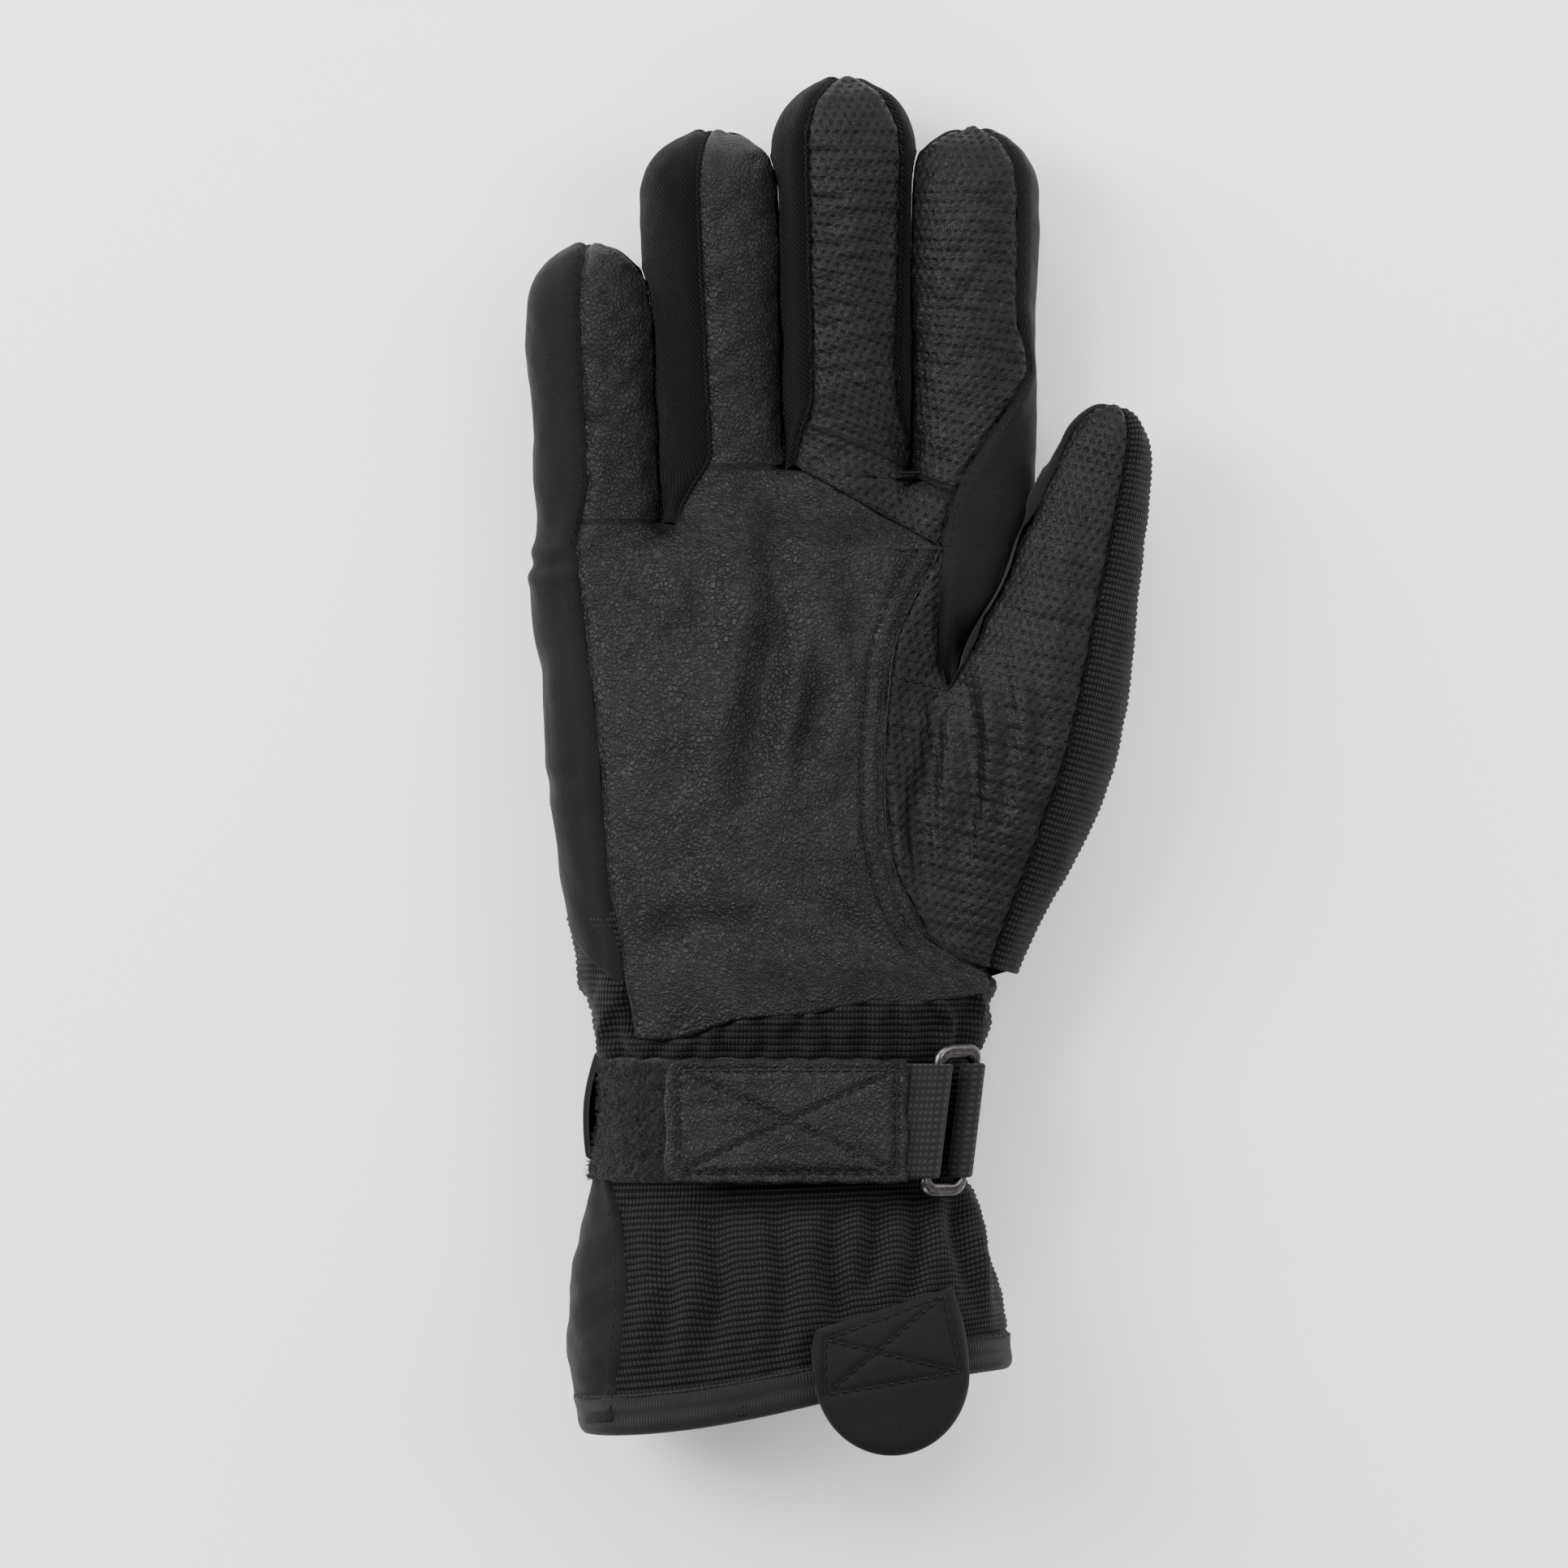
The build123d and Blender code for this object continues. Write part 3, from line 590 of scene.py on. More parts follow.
def palm_panels(thumb):
    """Palm leather, side panel, gusset strips and the back of the hand."""
    left_y = by_rows(LEATHER_END, FINGER_START, LEATHER_STEP)
    right_y = np.linspace(LEATHER_RIGHT_END, FINGER_START, len(left_y))

    def grip_border(y):
        return np.minimum(line(GRIP_SEAM, y), through(HAND_RIGHT, y) - 1.2)

    def wave(origin):
        return np.clip((-44 - origin[..., 1]) / 16, 0, 1) * leather_wave(origin[..., 0])

    leather_left = plan_seam(lambda y: line(ULNAR_SEAM, y), left_y, joined)
    leather_right = plan_seam(grip_border, right_y, joined)
    side_y = by_rows(SIDE_END, FINGER_START, SHELL_STEP)
    side_back_y = np.linspace(SIDE_BACK_END, FINGER_START, len(side_y))
    side_right = plan_seam(lambda y: line(ULNAR_SEAM, y), side_y, joined)
    side_left = edge_seam("left", side_back_y, joined)
    gusset_y = by_rows(GUSSET_SEAM[0][0], 46.9, THUMB_STEP)
    flap_y = np.linspace(thumb["heel"].points[-1, 0, 1], 46.9, len(gusset_y))
    flap_left = plan_seam(lambda y: line(GRIP_SEAM, y), flap_y, hand_side)
    flap_right = plan_seam(lambda y: line(GUSSET_SEAM, y), gusset_y, hand_side)
    gusset_right = edge_seam("right", gusset_y, hand_wall)
    back_y = by_rows(BACK_END, FINGER_START, BACK_STEP)
    strip_line = thumb["strip_back"][1]
    crotch = thumb["crotch_back"]
    border = np.concatenate((strip_line, [crotch], gusset_right[1][gusset_right[1][:, 1] > crotch[1] + 1]))

    def border_x(y):
        along_strip = np.interp(y, border[:, 1], border[:, 0] - 0.2)
        return np.where(y < border[0, 1], np.minimum(along_strip, through(HAND_RIGHT, y) - 2), along_strip)

    def swing_x(y):
        """The line in plan where the back starts to follow the thumb."""
        reach = SWING_BAND[0] - (y - SWING[1]) * SWING_OUT[1]
        return np.where(y < crotch[1], SWING[0] + reach / SWING_OUT[0], 1e3)

    back_left = edge_seam("left", back_y, joined)
    back_right = plan_seam(lambda y: np.minimum(border_x(y), swing_x(y)), back_y, joined, -1)
    root_y = by_rows(-26, crotch[1] - 0.05, BACK_STEP)
    root_left = plan_seam(lambda y: np.minimum(border_x(y) - 0.05, swing_x(y)), root_y, joined, -1)
    root_right = plan_seam(border_x, root_y, joined, -1)
    return {
        "leather": panel(joined, leather_left, leather_right, ACROSS, 84, LEATHER_STEP, 0.5, wave),
        "side": panel(joined, side_left, side_right, ACROSS, 34, SHELL_STEP, 1.0),
        "flap": panel(hand_side, flap_left, flap_right, ACROSS, 12, THUMB_STEP, 0.0),
        "gusset": panel(hand_wall, flap_right, gusset_right, ACROSS, 30, SHELL_STEP, 0.0),
        "back": panel(joined, back_right, back_left, ACROSS, 90, BACK_STEP),
        "back_thumb": panel(joined, root_right, root_left, ACROSS, 26, BACK_STEP),
    }


# ---- Cuff: rows lean with the slanting hem ----
HEM_X, HEM_Y, HEM_SLANT = -9.0, -137.0, np.tan(radians(8))
KNIT_TOP, CUFF_SIDE_TOP = -24.0, -84.0
KNIT_RIB = 1.4
HEM_WAVE = 1.3
CUFF_EDGE_ANGLES = 214, -34


def hem_wave(origin):
    """How far the rows near the hem stray from straight lines."""
    x, y = origin[..., 0], origin[..., 1]
    wave = HEM_WAVE * (np.sin(x / 8.5 + 0.6) + 0.5 * np.sin(x / 4.1 + 2.0)) + 3.2 * ease(-44, -56, x)
    return wave * ease(-118, -137, y)


def slanted(y):
    """Rows down the cuff: their heights at HEM_X, their slants and their directions across."""
    slant = HEM_SLANT * ease(-70, HEM_Y, y)
    across = np.stack((np.ones_like(y), slant, np.zeros_like(y)), -1)
    return y, slant, across / np.linalg.norm(across, axis=-1)[:, None]


def cuff_seam(side, angle, rows, field, inset=16.0):
    """A seam down the cuff's left or right edge, at an angle about a line inside that edge."""
    y, slant, across = rows
    outline, inward = (HAND_LEFT, 1) if side == "left" else (HAND_RIGHT, -1)
    x = through(outline, y) + inward * inset
    inner = np.stack((x, y + slant * (x - HEM_X), np.full_like(y, CORE_Z + CUFF_LIFT)), -1)
    return inner, cast(field, inner, ray(np.full_like(y, radians(angle)), across))[0]


def cuff_edges(rows):
    """The seams between the cuff's palm side and its back."""
    left, right = CUFF_EDGE_ANGLES
    return cuff_seam("left", left, rows, hand_field), cuff_seam("right", right, rows, hand_field)


def cuff_plan_seam(curve, rows, field):
    """A seam down the cuff that lies over a line in plan."""
    y, slant, _ = rows
    x = curve(y)
    points = above(x, y + slant * (x - HEM_X), field)
    return core_of(points, CUFF_LIFT), points


def cuff_panels():
    """Ribbed knit round the palm side, softshell panel on the left and plain back."""
    rows = slanted(by_rows(HEM_Y, KNIT_TOP, 0.36))
    knit_left, knit_right = cuff_edges(rows)
    back_rows = slanted(by_rows(HEM_Y, KNIT_TOP, 1.1))
    back_left, back_right = cuff_edges(back_rows)
    side_rows = slanted(by_rows(HEM_Y, CUFF_SIDE_TOP, SHELL_STEP))
    side_left = cuff_seam("left", 216, side_rows, hand_field)
    side_line = ((-150, -46.0), (-133, -46.3), (-120, -45.2), (-108, -44.6), (-97, -46.2), (-86, -49.2))
    side_right = cuff_plan_seam(lambda y: through(side_line, y), side_rows, hand_field)
    return {
        "knit": panel(hand_field, knit_left, knit_right, rows[2], 150, 1.0, 0.5, hem_wave),
        "side": panel(hand_field, side_left, side_right, side_rows[2], 34, SHELL_STEP, 1.0, hem_wave),
        "back": panel(hand_field, back_right, back_left, back_rows[2], 90, BACK_STEP, 0.5, hem_wave),
    }


# ---- Relief, in millimetres along the normal ----
def wobble(p, size, seed):
    """Smooth irregular waves of a given size, from -1 to 1."""
    draw = np.random.default_rng(seed)
    total = np.zeros(p.shape[:-1])
    for _ in range(7):
        direction = draw.normal(size=3)
        direction /= np.linalg.norm(direction) * size * draw.uniform(0.6, 1.5) / (2 * pi)
        total += np.sin(p @ direction + draw.uniform(0, 2 * pi))
    return total / 4


def near(p, route):
    """Distance in plan from points to a route, and how far along it they are, from 0 to 1."""
    knots = np.array(route, float)
    best, where = np.full(p.shape[:-1], 1e9), np.zeros(p.shape[:-1])
    for i, (a, b) in enumerate(zip(knots, knots[1:])):
        run = b - a
        t = np.clip(((p[..., :2] - a) @ run) / (run @ run), 0, 1)
        distance = np.linalg.norm(p[..., :2] - a - t[..., None] * run, axis=-1)
        closer = distance < best
        where = np.where(closer, (i + t) / (len(knots) - 1), where)
        best = np.where(closer, distance, best)
    return best, where


def crease(p, route, width, depth):
    """A fold in the fabric along a route in plan, with a soft ridge on each side."""
    distance, where = near(p, route)
    fade = ease(0, 0.35, where) * (1 - ease(0.65, 1, where))
    q = distance / width
    return fade * depth * (0.55 * np.exp(-((q - 1.7) ** 2)) - np.exp(-q * q))


# Each fold is a route of (x, y) points, its width and its depth.
PALM_CREASES = (
    (((-12.5, 60), (-11.8, 45), (-11.3, 31.5), (-15.7, 15.8), (-18.3, -3.5), (-21, -20)), 4.4, 2.8),
    (((-4.5, 50), (-4, 36), (-3.4, 14), (-6.4, 2), (-8.6, -14)), 3.2, 1.5),
    (((-60, 40), (-47.2, 47.6), (-38, 50.8)), 2.2, 0.6),
    (((-31, 54), (-28, 38), (-31, 20)), 4.6, 1.5),
    (((-45, 40), (-38, 34), (-33, 22)), 3.4, 0.9),
    (((4, 52), (3, 38), (6, 18)), 4.6, 1.3),
    (((27.2, 22), (29.4, 6), (29.4, -8), (26, -30)), 2.9, 1.9),
    (((34.4, 30), (37.4, 8), (36, -8), (31, -30)), 2.4, 1.4),
    (((22.6, 18), (21.6, 4), (18.6, -14)), 2.2, 1.0),
    (((17.2, 2), (17.0, -14), (21.5, -33)), 2.0, 0.6),
    (((42.5, 26), (43.5, 8), (40.5, -14)), 2.4, 0.7),
    (((-42, -40), (-30, -34), (-12, -36)), 3.6, 0.9),
    (((-8, -26), (4, -36), (16, -48)), 3.2, 1.0),
    (((-36, 10), (-34, -14), (-37, -38)), 5.0, 1.0),
)
SIDE_CREASES = (
    (((-74, 45), (-64, 42.5), (-54, 44)), 1.7, 0.7),
    (((-74, -2), (-62, -5), (-52, -2)), 2.6, 0.4),
)
CUFF_CREASES = (
    (((-27, -92), (-25, -112), (-29, -134)), 2.6, 2.1),
    (((-14, -90), (-11, -110), (-14, -136)), 2.4, 1.9),
    (((0, -92), (-1, -108), (2, -128)), 2.4, 2.0),
    (((9, -90), (8, -104), (5, -118)), 2.0, 1.6),
    (((18, -90), (17, -108), (14, -120)), 2.2, 2.0),
    (((25.5, -88), (26, -102), (31, -120)), 2.2, 2.0),
    (((32.5, -94), (34, -108), (36, -124)), 1.4, 1.0),
    (((-38, -94), (-36, -114), (-39, -136)), 2.4, 1.6),
)


def route_relief(p, routes, depth, width):
    """Grooves along routes in plan."""
    height = np.zeros(p.shape[:-1])
    for route in routes:
        distance, _ = near(p, route)
        height = np.minimum(height, -depth * np.exp(-((distance / width) ** 2)))
    return height


def creases(p, folds):
    """All the folds of a table together."""
    return sum(crease(p, *fold) for fold in folds)


def pinch(distance, depth=0.9, width=0.9):
    """Fabric drawn in at a seam, and slightly full beside it."""
    q = distance / width
    return depth * (0.35 * np.exp(-(((q - 3.2) / 2) ** 2)) - np.exp(-q * q))


def dimples(grid, pitch=2.1, depth=0.34):
    """Rows of small square pits with raised rims, as pressed into grip leather."""
    row = np.round(grid.v / pitch)
    du = np.abs((grid.u / pitch + 0.5 * (row % 2)) % 1 - 0.5) * pitch
    dv = np.abs(grid.v - row * pitch)
    q = (du**4 + (dv * 1.1) ** 4) ** 0.25
    pit = -depth * (1 - ease(0.3, 0.62, q))
    return pit + 0.38 * depth * np.exp(-(((q - 0.8) / 0.16) ** 2))


def ribs(grid, pitch=KNIT_RIB, depth=0.4):
    """Rounded knit ribs across the fabric."""
    return depth * (np.abs(np.sin(pi * grid.v / pitch)) - 0.6)


def softness(p, amount, seed):
    """Large and small uneven swells of padded fabric."""
    return amount * wobble(p, 17, seed) + 0.35 * amount * wobble(p, 6, seed + 1)


# ---- Meshes ----
def write_mesh(name, grids, slot_name, flip=False):
    """One mesh from grids, in metres, with the distances along the fabric as its UV map."""
    points, faces, fabric, base = [], [], [], 0
    for grid in grids:
        rows, columns = grid.u.shape
        index = base + np.arange(rows * columns).reshape(rows, columns)
        corners = (index[:-1, :-1], index[:-1, 1:], index[1:, 1:], index[1:, :-1])
        quads = np.stack(corners[::-1] if flip else corners, -1).reshape(-1, 4)
        points.append(grid.points.reshape(-1, 3))
        fabric.append(np.stack((grid.u, grid.v), -1).reshape(-1, 2))
        faces.append(quads)
        base += rows * columns
    return mesh_from(name, *(np.concatenate(part) for part in (points, faces, fabric)), slot_name)


def mesh_from(name, points, quads, fabric, slot_name):
    """A smooth mesh of quads, with the finish of its slot, linked to the scene."""
    mesh = bpy.data.meshes.new(name)
    mesh.vertices.add(len(points))
    mesh.vertices.foreach_set("co", (points * MM).astype(np.float32).ravel())
    mesh.loops.add(quads.size)
    mesh.loops.foreach_set("vertex_index", quads.astype(np.int32).ravel())
    mesh.polygons.add(len(quads))
    mesh.polygons.foreach_set("loop_start", np.arange(0, quads.size, 4, dtype=np.int32))
    mesh.polygons.foreach_set("use_smooth", np.ones(len(quads), bool))
    mesh.update(calc_edges=True)
    layer = mesh.uv_layers.new(name="fabric")
    layer.data.foreach_set("uv", fabric[quads.ravel()].astype(np.float32).ravel())
    mesh.validate()
    piece = bpy.data.objects.new(name, mesh)
    bpy.context.scene.collection.objects.link(piece)
    mesh.materials.append(FINISHES[slot_name])
    return piece


def lay(name, grids, slot_name, ride, *nodes, flip=False):
    """A piece made of grids, with the body it rides on or a function that bakes its transform, and the nodes it
    stands for, which are hidden.
    """
    piece = write_mesh(name, grids, slot_name, flip)
    if nodes:
        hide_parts(*nodes)
    if isinstance(ride, str):
        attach(piece, ride)
    else:
        ride(piece)


def cross_frames(path):
    """Directions along a path of points."""
    along = np.gradient(path, axis=0)
    return along / np.maximum(np.linalg.norm(along, axis=-1), 1e-9)[:, None]


def even(path, step):
    """The same path in even steps."""
    lengths = np.pad(np.cumsum(np.linalg.norm(np.diff(path, axis=0), axis=-1)), (1, 0))
    at = np.linspace(0, lengths[-1], max(2, round(lengths[-1] / step) + 1))
    return sampled(at, lengths, path), at


def spread_over(values, count):
    """The same run of vectors in another number of steps."""
    return sampled(np.linspace(0, 1, count), np.linspace(0, 1, len(values)), values)


def tube(path, normal, radius, sides=8):
    """A grid round a path. The radius may vary along it and round it."""
    along = cross_frames(path)
    normal = normal - (normal * along).sum(-1)[:, None] * along
    normal /= np.maximum(np.linalg.norm(normal, axis=-1), 1e-9)[:, None]
    side = np.cross(along, normal)
    turn = np.linspace(0, 2 * pi, sides + 1)[None, :, None]
    out = np.cos(turn) * normal[:, None] + np.sin(turn) * side[:, None]
    radius = np.broadcast_to(radius, (len(path), sides + 1))
    return Grid(path[:, None] + out * radius[..., None], out)


def overlock(path, normal, radius=0.62, pitch=1.25, lift=0.1):
    """A seam bound by twisted thread: a bead with slanting turns."""
    path, at = even(path, 0.22 * COARSE)
    normal = spread_over(normal, len(path))
    turn = np.linspace(0, 2 * pi, 9)[None]
    bumps = np.abs(np.sin(pi * at[:, None] / pitch - turn / 2))
    taper = ease(0, 1.5, at) * (1 - ease(at[-1] - 1.5, at[-1], at))
    thickness = radius * (0.72 + 0.36 * bumps) * (0.05 + 0.95 * taper)[:, None]
    return tube(path + normal * lift, normal, thickness)


def stitches(path, normal, length=2.1, pitch=2.7, radius=0.2, lift=0.12):
    """A row of short thread capsules along a path, which dip into the fabric at their ends."""
    path, at = even(path, 0.3)
    normal = spread_over(normal, len(path))
    grids = []
    for start in np.arange(pitch / 4, at[-1] - length, pitch):
        along = start + length * np.linspace(0, 1, 6)
        places, normals = sampled(along, at, path), sampled(along, at, normal)
        share = np.linspace(-1, 1, 6)
        places = places + normals * (lift - 0.32 * share**4)[:, None]
        round_off = radius * np.sqrt(np.maximum(0.02, 1 - np.abs(share) ** 5))
        grids.append(tube(places, normals, round_off[:, None], 6))
    return grids


def edge_of(grid, side, inset=0.0):
    """A line along a grid's left or right edge, with its normals."""
    distance = grid.from_left if side == "left" else grid.from_right
    column = np.argmin(np.abs(distance - inset), axis=1)
    pick = (np.arange(len(column)), column)
    return grid.points[pick], grid.normals[pick]


def in_plan(route, field, step=0.4):
    """A surface line over a route in plan, with its normals."""
    route = np.array([(x, y, 0) for x, y in route], float)
    origin = core_of(even(route, step)[0])
    return cast(field, origin, np.broadcast_to(UP, origin.shape))


# ---- Materials ----
class Shader:
    """A node material built in code, with patterns measured in millimetres along the fabric."""

    def __init__(self, name, roughness, sheen=0.0, sheen_roughness=0.5, metallic=0.0, specular=0.5):
        self.material = bpy.data.materials.new(name)
        self.material.use_nodes = True
        self.tree = self.material.node_tree
        self.surface = self.tree.nodes["Principled BSDF"]
        for socket, value in (
            ("Roughness", roughness),
            ("Sheen Weight", sheen),
            ("Sheen Roughness", sheen_roughness),
            ("Metallic", metallic),
            ("Specular IOR Level", specular),
        ):
            self.surface.inputs[socket].default_value = value
        fabric = self.add("ShaderNodeUVMap")
        fabric.uv_map = "fabric"
        self.fabric = fabric.outputs[0]

    def feed(self, socket, value):
        """A link from another node's output, or a constant on the socket itself."""
        if isinstance(value, bpy.types.NodeSocket):
            self.tree.links.new(value, socket)
        else:
            socket.default_value = value

    def add(self, kind, **inputs):
        """A node with its inputs fed by name."""
        node = self.tree.nodes.new(kind)
        for name, value in inputs.items():
            self.feed(node.inputs[name], value)
        return node

    def math(self, operation, a, b=0.0, c=0.0):
        node = self.tree.nodes.new("ShaderNodeMath")
        node.operation = operation
        for socket, value in zip(node.inputs, (a, b, c)):
            self.feed(socket, value)
        return node.outputs[0]

    def axis(self, name):
        """X is the way along the fabric's rows and Y the way across them, in millimetres."""
        split = self.add("ShaderNodeSeparateXYZ", Vector=self.fabric)
        return split.outputs[name]

    def noise(self, scale, detail=3.0, roughness=0.55, vector=None):
        node = self.add("ShaderNodeTexNoise", Scale=scale, Detail=detail, Roughness=roughness)
        self.tree.links.new(vector or self.fabric, node.inputs["Vector"])
        return node.outputs["Fac"]

    def warped(self, scale, amount):
        """The fabric's own coordinates, pushed about by noise."""
        node = self.add("ShaderNodeTexNoise", Vector=self.fabric, Scale=scale, Detail=2.0)
        offset = self.tree.nodes.new("ShaderNodeVectorMath")
        offset.operation = "MULTIPLY_ADD"
        self.tree.links.new(node.outputs["Color"], offset.inputs[0])
        offset.inputs[1].default_value = (amount, amount, 0)
        self.tree.links.new(self.fabric, offset.inputs[2])
        return offset.outputs[0]

    def cells(self, scale, feature="DISTANCE_TO_EDGE", vector=None):
        node = self.add("ShaderNodeTexVoronoi", Scale=scale, Randomness=1.0)
        node.feature = feature
        self.tree.links.new(vector or self.fabric, node.inputs["Vector"])
        return node.outputs["Distance"]

    def wave(self, value, pitch):
        """0 to 1 and back over each pitch."""
        turn = self.math("MULTIPLY", value, 2 * pi / pitch)
        return self.math("MULTIPLY_ADD", self.math("SINE", turn), 0.5, 0.5)

    def clamp(self, value, low, high):
        node = self.add("ShaderNodeMapRange", Value=value)
        node.inputs["From Min"].default_value, node.inputs["From Max"].default_value = low, high
        return node.outputs[0]

    def bump(self, *layers):
        """Heights from 0 to 1, each with its depth in millimetres, one on another."""
        normal = None
        for height, depth in layers:
            node = self.add("ShaderNodeBump", Height=height, Distance=depth * MM, Strength=1.0)
            if normal is not None:
                self.tree.links.new(normal, node.inputs["Normal"])
            normal = node.outputs[0]
        self.tree.links.new(normal, self.surface.inputs["Normal"])

    def colour(self, factor, dark, light, tint=(1.0, 1.0, 1.05)):
        """A grey between dark and light, by factor."""
        node = self.add("ShaderNodeMix")
        node.data_type = "RGBA"
        colours = [socket for socket in node.inputs if socket.type == "RGBA"]
        for socket, value in zip(colours, (dark, light)):
            socket.default_value = (*(value * share for share in tint), 1)
        self.tree.links.new(factor, node.inputs["Factor"])
        out = [socket for socket in node.outputs if socket.type == "RGBA"][0]
        self.tree.links.new(out, self.surface.inputs["Base Color"])

    def vary_roughness(self, factor, low, high):
        node = self.add("ShaderNodeMapRange", Value=factor)
        node.inputs["To Min"].default_value, node.inputs["To Max"].default_value = low, high
        self.tree.links.new(node.outputs[0], self.surface.inputs["Roughness"])


def leather_shader(name, dark, light, pebble, depth):
    """Smooth leather: fine pebbles, finer pores and fine wrinkles over a random tone, with painted highlights on
    the pebbles' tops and painted shade in the creases between them.
    """
    s = Shader(name, 0.46, specular=0.145)
    grain = s.clamp(s.cells(1 / pebble, vector=s.warped(0.5, 1.6)), 0.0, 0.28)
    wrinkle = s.noise(0.42, 5.0, 0.62, s.warped(0.16, 7.0))
    pores = s.noise(3.4, 2.0)
    # Random tone, lighter on the pebbles' tops and darker in the creases between them: painted highlight and
    # painted shade of the grain.
    tone_and_painted_grain_light = s.math("MULTIPLY", s.noise(0.05, 3.0), s.math("MULTIPLY_ADD", grain, 0.45, 0.75))
    s.colour(s.clamp(tone_and_painted_grain_light, 0.25, 0.62), dark, light)
    polish = s.math("MULTIPLY_ADD", s.noise(0.12), 0.6, s.math("MULTIPLY", pores, 0.4))
    s.vary_roughness(polish, 0.38, 0.58)
    s.bump((wrinkle, 0.34), (grain, depth), (pores, 0.05))
    return s.material


def knit_shader(name, dark, light, stitch, rough, sheen):
    """Knitted or woven yarn: small stitches along each rib, coloured darker in the grooves between the ribs and
    between the stitches as painted shade.
    """
    s = Shader(name, rough, sheen=sheen, sheen_roughness=0.45, specular=0.08)
    along = s.math("ADD", s.axis("X"), s.math("MULTIPLY", s.noise(0.35), 0.6))
    yarn = s.wave(along, stitch)
    crest = s.wave(s.math("SUBTRACT", s.axis("Y"), KNIT_RIB / 4), KNIT_RIB)
    row = s.wave(s.axis("Y"), KNIT_RIB / 2)
    lint = s.noise(2.6, 4.0, 0.7)
    shade = s.math("MULTIPLY_ADD", lint, 0.7, s.math("MULTIPLY", yarn, 0.3))
    # The colour falls to black in the grooves between the ribs, by the square of crest, and is darker between
    # the stitches: painted shade, over random lint.
    s.colour(s.math("MULTIPLY", s.clamp(shade, 0.3, 0.8), s.math("MULTIPLY", crest, crest)), dark, light)
    s.bump((yarn, 0.16), (row, 0.10), (lint, 0.08))
    return s.material


def softshell_shader(name, dark, light, rough, sheen):
    """Close-knit stretch shell: almost smooth, with faint specks of lint."""
    s = Shader(name, rough, sheen=sheen, sheen_roughness=0.4, specular=0.08)
    weave = s.math("MULTIPLY", s.wave(s.axis("X"), 0.55), s.wave(s.axis("Y"), 0.55))
    lint = s.noise(1.7, 5.0, 0.75)
    s.colour(s.clamp(lint, 0.35, 0.85), dark, light)
    s.bump((s.noise(0.22, 2.0), 0.25), (weave, 0.05), (lint, 0.06))
    return s.material


def twill_shader(name):
    """Twill: fine diagonal ribs, coloured darker in the troughs between them as painted shade."""
    s = Shader(name, 0.7, sheen=0.03, sheen_roughness=0.4, specular=0.06)
    slope = s.math("ADD", s.axis("X"), s.math("MULTIPLY", s.axis("Y"), 0.75))
    diagonal = s.wave(s.math("ADD", slope, s.math("MULTIPLY", s.noise(0.5), 0.35)), 0.95)
    yarn = s.wave(s.math("SUBTRACT", s.axis("Y"), s.axis("X")), 0.7)
    # The colour is darkest in the troughs between the diagonal ribs, with a random tone on the ribs: painted
    # shade of the weave.
    s.colour(s.clamp(s.math("MULTIPLY", diagonal, s.noise(1.5, 3.0)), 0.0, 0.7), 0.0006, 0.0040)
    s.bump((diagonal, 0.28), (yarn, 0.07))
    return s.material


def webbing_shader(name, dark, light, across, along):
    """Woven tape: rows of small nubs, coloured darker between the nubs as painted shade, with random lint."""
    s = Shader(name, 0.72, sheen=0.05, specular=0.1)
    nubs = s.math("MULTIPLY", s.wave(s.axis("X"), across), s.wave(s.axis("Y"), along))
    lint = s.noise(2.0, 4.0, 0.7)
    # The colour is darker between the nubs: painted shade, with random lint over it.
    shade = s.math("MULTIPLY_ADD", nubs, 0.6, s.math("MULTIPLY", lint, 0.5))
    s.colour(s.clamp(shade, 0.1, 0.9), dark, light)
    s.bump((nubs, 0.3), (lint, 0.1))
    return s.material


def fuzz_shader(name, dark, light, scale=1.6):
    """Brushed loops or fleece: random fluff tone, with painted shade where the tufts lie lower."""
    s = Shader(name, 0.95, sheen=0.08, sheen_roughness=0.6, specular=0.05)
    tufts = s.cells(scale, "F1", s.warped(1.2, 0.8))
    fluff = s.noise(3.0, 6.0, 0.8)
    # Random fluff tone, darker where the tufts lie lower: partly the fabric's own tone, partly painted shade.
    shade = s.math("MULTIPLY_ADD", fluff, 0.8, s.math("MULTIPLY", tufts, 0.3))
    s.colour(s.clamp(shade, 0.25, 0.85), dark, light)
    s.bump((tufts, 0.5), (fluff, 0.35))
    return s.material


def metal_shader(name):
    """Black-nickel plate, rubbed lighter in places."""
    s = Shader(name, 0.3, metallic=1.0)
    wear = s.noise(0.5, 4.0, 0.7)
    s.colour(s.clamp(wear, 0.45, 0.8), 0.055, 0.14, tint=(1.0, 0.9, 0.92))
    s.vary_roughness(s.noise(1.4, 3.0), 0.22, 0.42)
    s.bump((s.noise(2.4, 2.0), 0.02))
    return s.material


